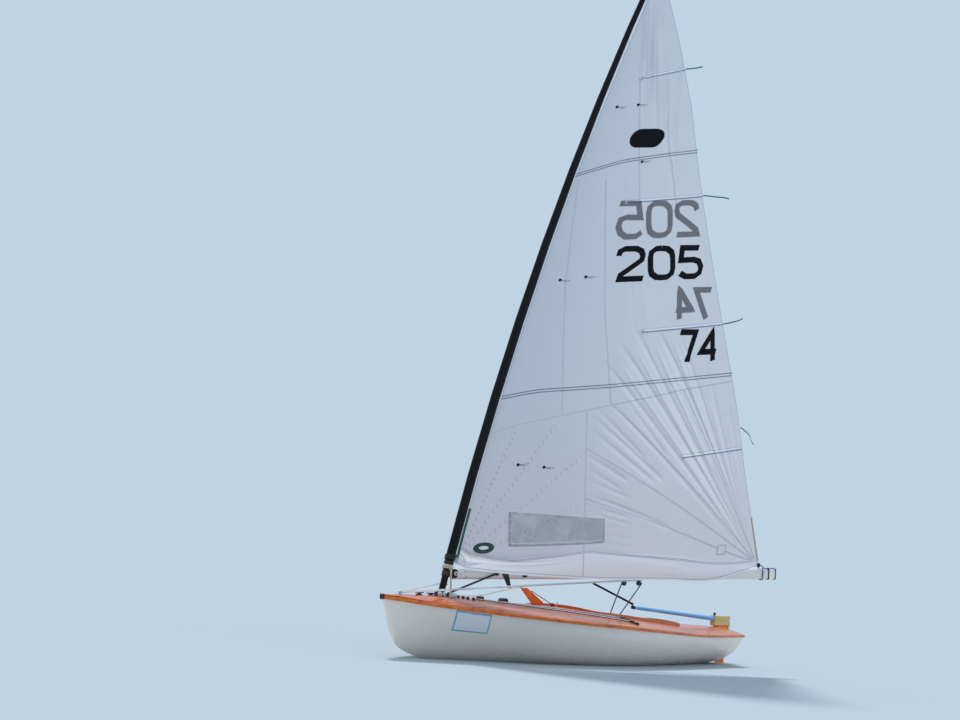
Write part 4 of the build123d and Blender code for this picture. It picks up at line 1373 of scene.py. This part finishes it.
def make_mast_foot():
    """Small blocks at the mast foot, each in a strop of white rope."""
    for i, (x, y, lean) in enumerate(FOOT_BLOCKS):
        at = on_deck(x, y, 0.020)
        axis = (math.sin(lean), math.cos(lean), 0.25)
        lashing("foot_strop_%d" % i, at, axis, 0.018, 2, 0.010, 0.0050, ROPE_WHITE, "hull")
        wheel("foot_block_%d" % i, at - (0, 0, 0.010), (0, 1, 0), 0.012, 0.012, "steel", "hull",
              (0.002, 0.002), 18)


def make_sheet():
    """Two falls of the mainsheet from the boom's blocks down to the pedestal."""
    for i, t in enumerate(SHEET_BLOCKS_AT):
        ends = [SHEET_BASE + (0.012 - 0.024 * i, 0, 0), boom_at(t, 0.0, -BOOM_HALF_DEPTH - 0.035)]
        rope_between("mainsheet_fall_%d" % i, ends, 0.0055, ROPE_NAVY)


def make_clew():
    """Clew ring, its lashing round the boom, and the bands at the boom's end."""
    clew = sail_base(0.997, 0.002)
    wheel("clew_ring", clew, BOOM_PORT, 0.021, 0.012, "black_plastic", "rig", (0.002, 0.005), 24)
    ring = rounded_section(BOOM_HALF_WIDTH + 0.005, BOOM_HALF_DEPTH + 0.016, 0.022)
    for i, (t, material) in enumerate(((3.345, ROPE_NAVY), (3.358, ROPE_WHITE))):
        loop = [boom_at(t, x, y + 0.012) for x, y in ring + ring[:1]]
        rope("clew_lashing_%d" % i, loop, 0.0040, material, "rig")
    band = rounded_section(BOOM_HALF_WIDTH + 0.0025, BOOM_HALF_DEPTH + 0.0025, 0.016)
    for i, (t, wide) in enumerate(((3.418, 0.016), (3.497, 0.010))):
        plate("boom_band_%d" % i, boom_at(t), BOOM_PORT, BOOM_UP, band, wide, "black_plastic", "rig", 0.001)
    over = [boom_at(t, 0.020, BOOM_HALF_DEPTH + 0.004) for t in (3.36, 3.43, 3.49)]
    rope("outhaul", over, 0.0050, ROPE_BLUE, "rig")


def rounded_section(half_width, half_height, corner, steps=5):
    """Outline of a rectangle with round corners."""
    points = []
    for sx, sy, start in ((1, 1, 0), (-1, 1, 90), (-1, -1, 180), (1, -1, 270)):
        middle = np.array([sx * (half_width - corner), sy * (half_height - corner)])
        for a in np.radians(np.linspace(start, start + 90, steps)):
            points.append(middle + corner * np.array([math.cos(a), math.sin(a)]))
    return points


# Corners of the bare panel on the port bow: high fore, high aft, low aft, low fore
PANEL_CORNERS = ((4.389, 0.342, 0.450), (4.056, 0.476, 0.425), (4.016, 0.402, 0.251), (4.347, 0.262, 0.265))


def hull_patch(name, inset, lift, material):
    """Sheet that lies on the hull's planking between the panel's corners."""
    a, b, c, d = np.array(PANEL_CORNERS)
    outward = unit(np.cross(b - a, d - a))
    outward = outward * np.sign(outward[1])
    columns, rows = 26, 16
    verts, uvs = [], []
    for y in np.linspace(inset * 1.8, 1 - inset * 1.8, rows):
        for x in np.linspace(inset, 1 - inset, columns):
            at = (a * (1 - x) + b * x) * (1 - y) + (d * (1 - x) + c * x) * y
            hit = HULL_TREE.ray_cast(Vector(at + outward * 0.2), Vector(-outward))
            verts.append(np.array(hit[0]) + outward * lift)
            uvs.append((x, y))
    cloth_object(name, verts, grid_faces(rows, columns), uvs, material, "hull")


def make_panel():
    """Bare stick-on panel with a light blue edge."""
    hull_patch("bow_panel_edge", 0.0, 0.0012, PANEL_EDGE)
    hull_patch("bow_panel", 0.045, 0.0020, PANEL_PALE)


# Rail screws on each side: how many, and the first one's place and their spacing along X
SCREW_COUNT, SCREW_START, SCREW_PITCH = 19, 0.25, 0.245


def make_rail_screws():
    """Round heads of screws in the rub rails' outer faces, low on each rail."""
    for side, node in ((1, "rub_rail_port"), (-1, "rub_rail_starboard")):
        tree = tree_of(node)
        for i in range(SCREW_COUNT):
            x = SCREW_START + SCREW_PITCH * i
            rays = [tree.ray_cast(Vector((x, side * 1.2, z)), Vector((0, -side, 0)))
                    for z in np.linspace(0.25, 0.60, 176)]
            # The rays are 2 mm apart, and the third one from below that meets the rail is taken
            place, normal, _, _ = [ray for ray in rays if ray[0] is not None][2]
            turned("rail_screw_%d_%d" % (i, side > 0), place - normal * 0.0008, normal,
                   ((0, 0.0052), (0.0016, 0.0046), (0.0022, 0.002)), "steel", "hull", sides=10)


def make_rudder_fittings():
    """Knob on the rudder head and the blade's uphaul at its aft edge."""
    turned("rudder_knob", (-0.030, 0.0, 0.456), (0, 0, 1),
           ((0, 0.011), (0.010, 0.009), (0.016, 0.013), (0.026, 0.013), (0.031, 0.008)),
           "black_plastic", "rudder")
    uphaul = ((-0.262, 0.016, 0.425), (-0.268, 0.020, 0.400), (-0.262, 0.031, 0.360),
              (-0.250, 0.031, 0.250), (-0.236, 0.031, 0.130))
    rope("rudder_uphaul", uphaul, 0.0042, ROPE_WHITE, "rudder")


def declare_sail():
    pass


STEPS = (
    set_view, add_camera, add_world, add_sun, add_floor, dress_cad_nodes,
    make_sail, make_window, make_tack_seams, make_battens, make_stripes, make_tapes, make_numbers,
    make_marks, make_window_edge, make_tell_tales, make_ribbons,
    make_tack_fittings, make_boom_fittings, make_vang, make_downhaul, make_bow_lines, make_board_lines,
    make_control_lines, make_mast_foot, make_sheet, make_clew,
    make_panel, make_rail_screws, make_rudder_fittings, declare_sail,
)
for step in STEPS:
    step()
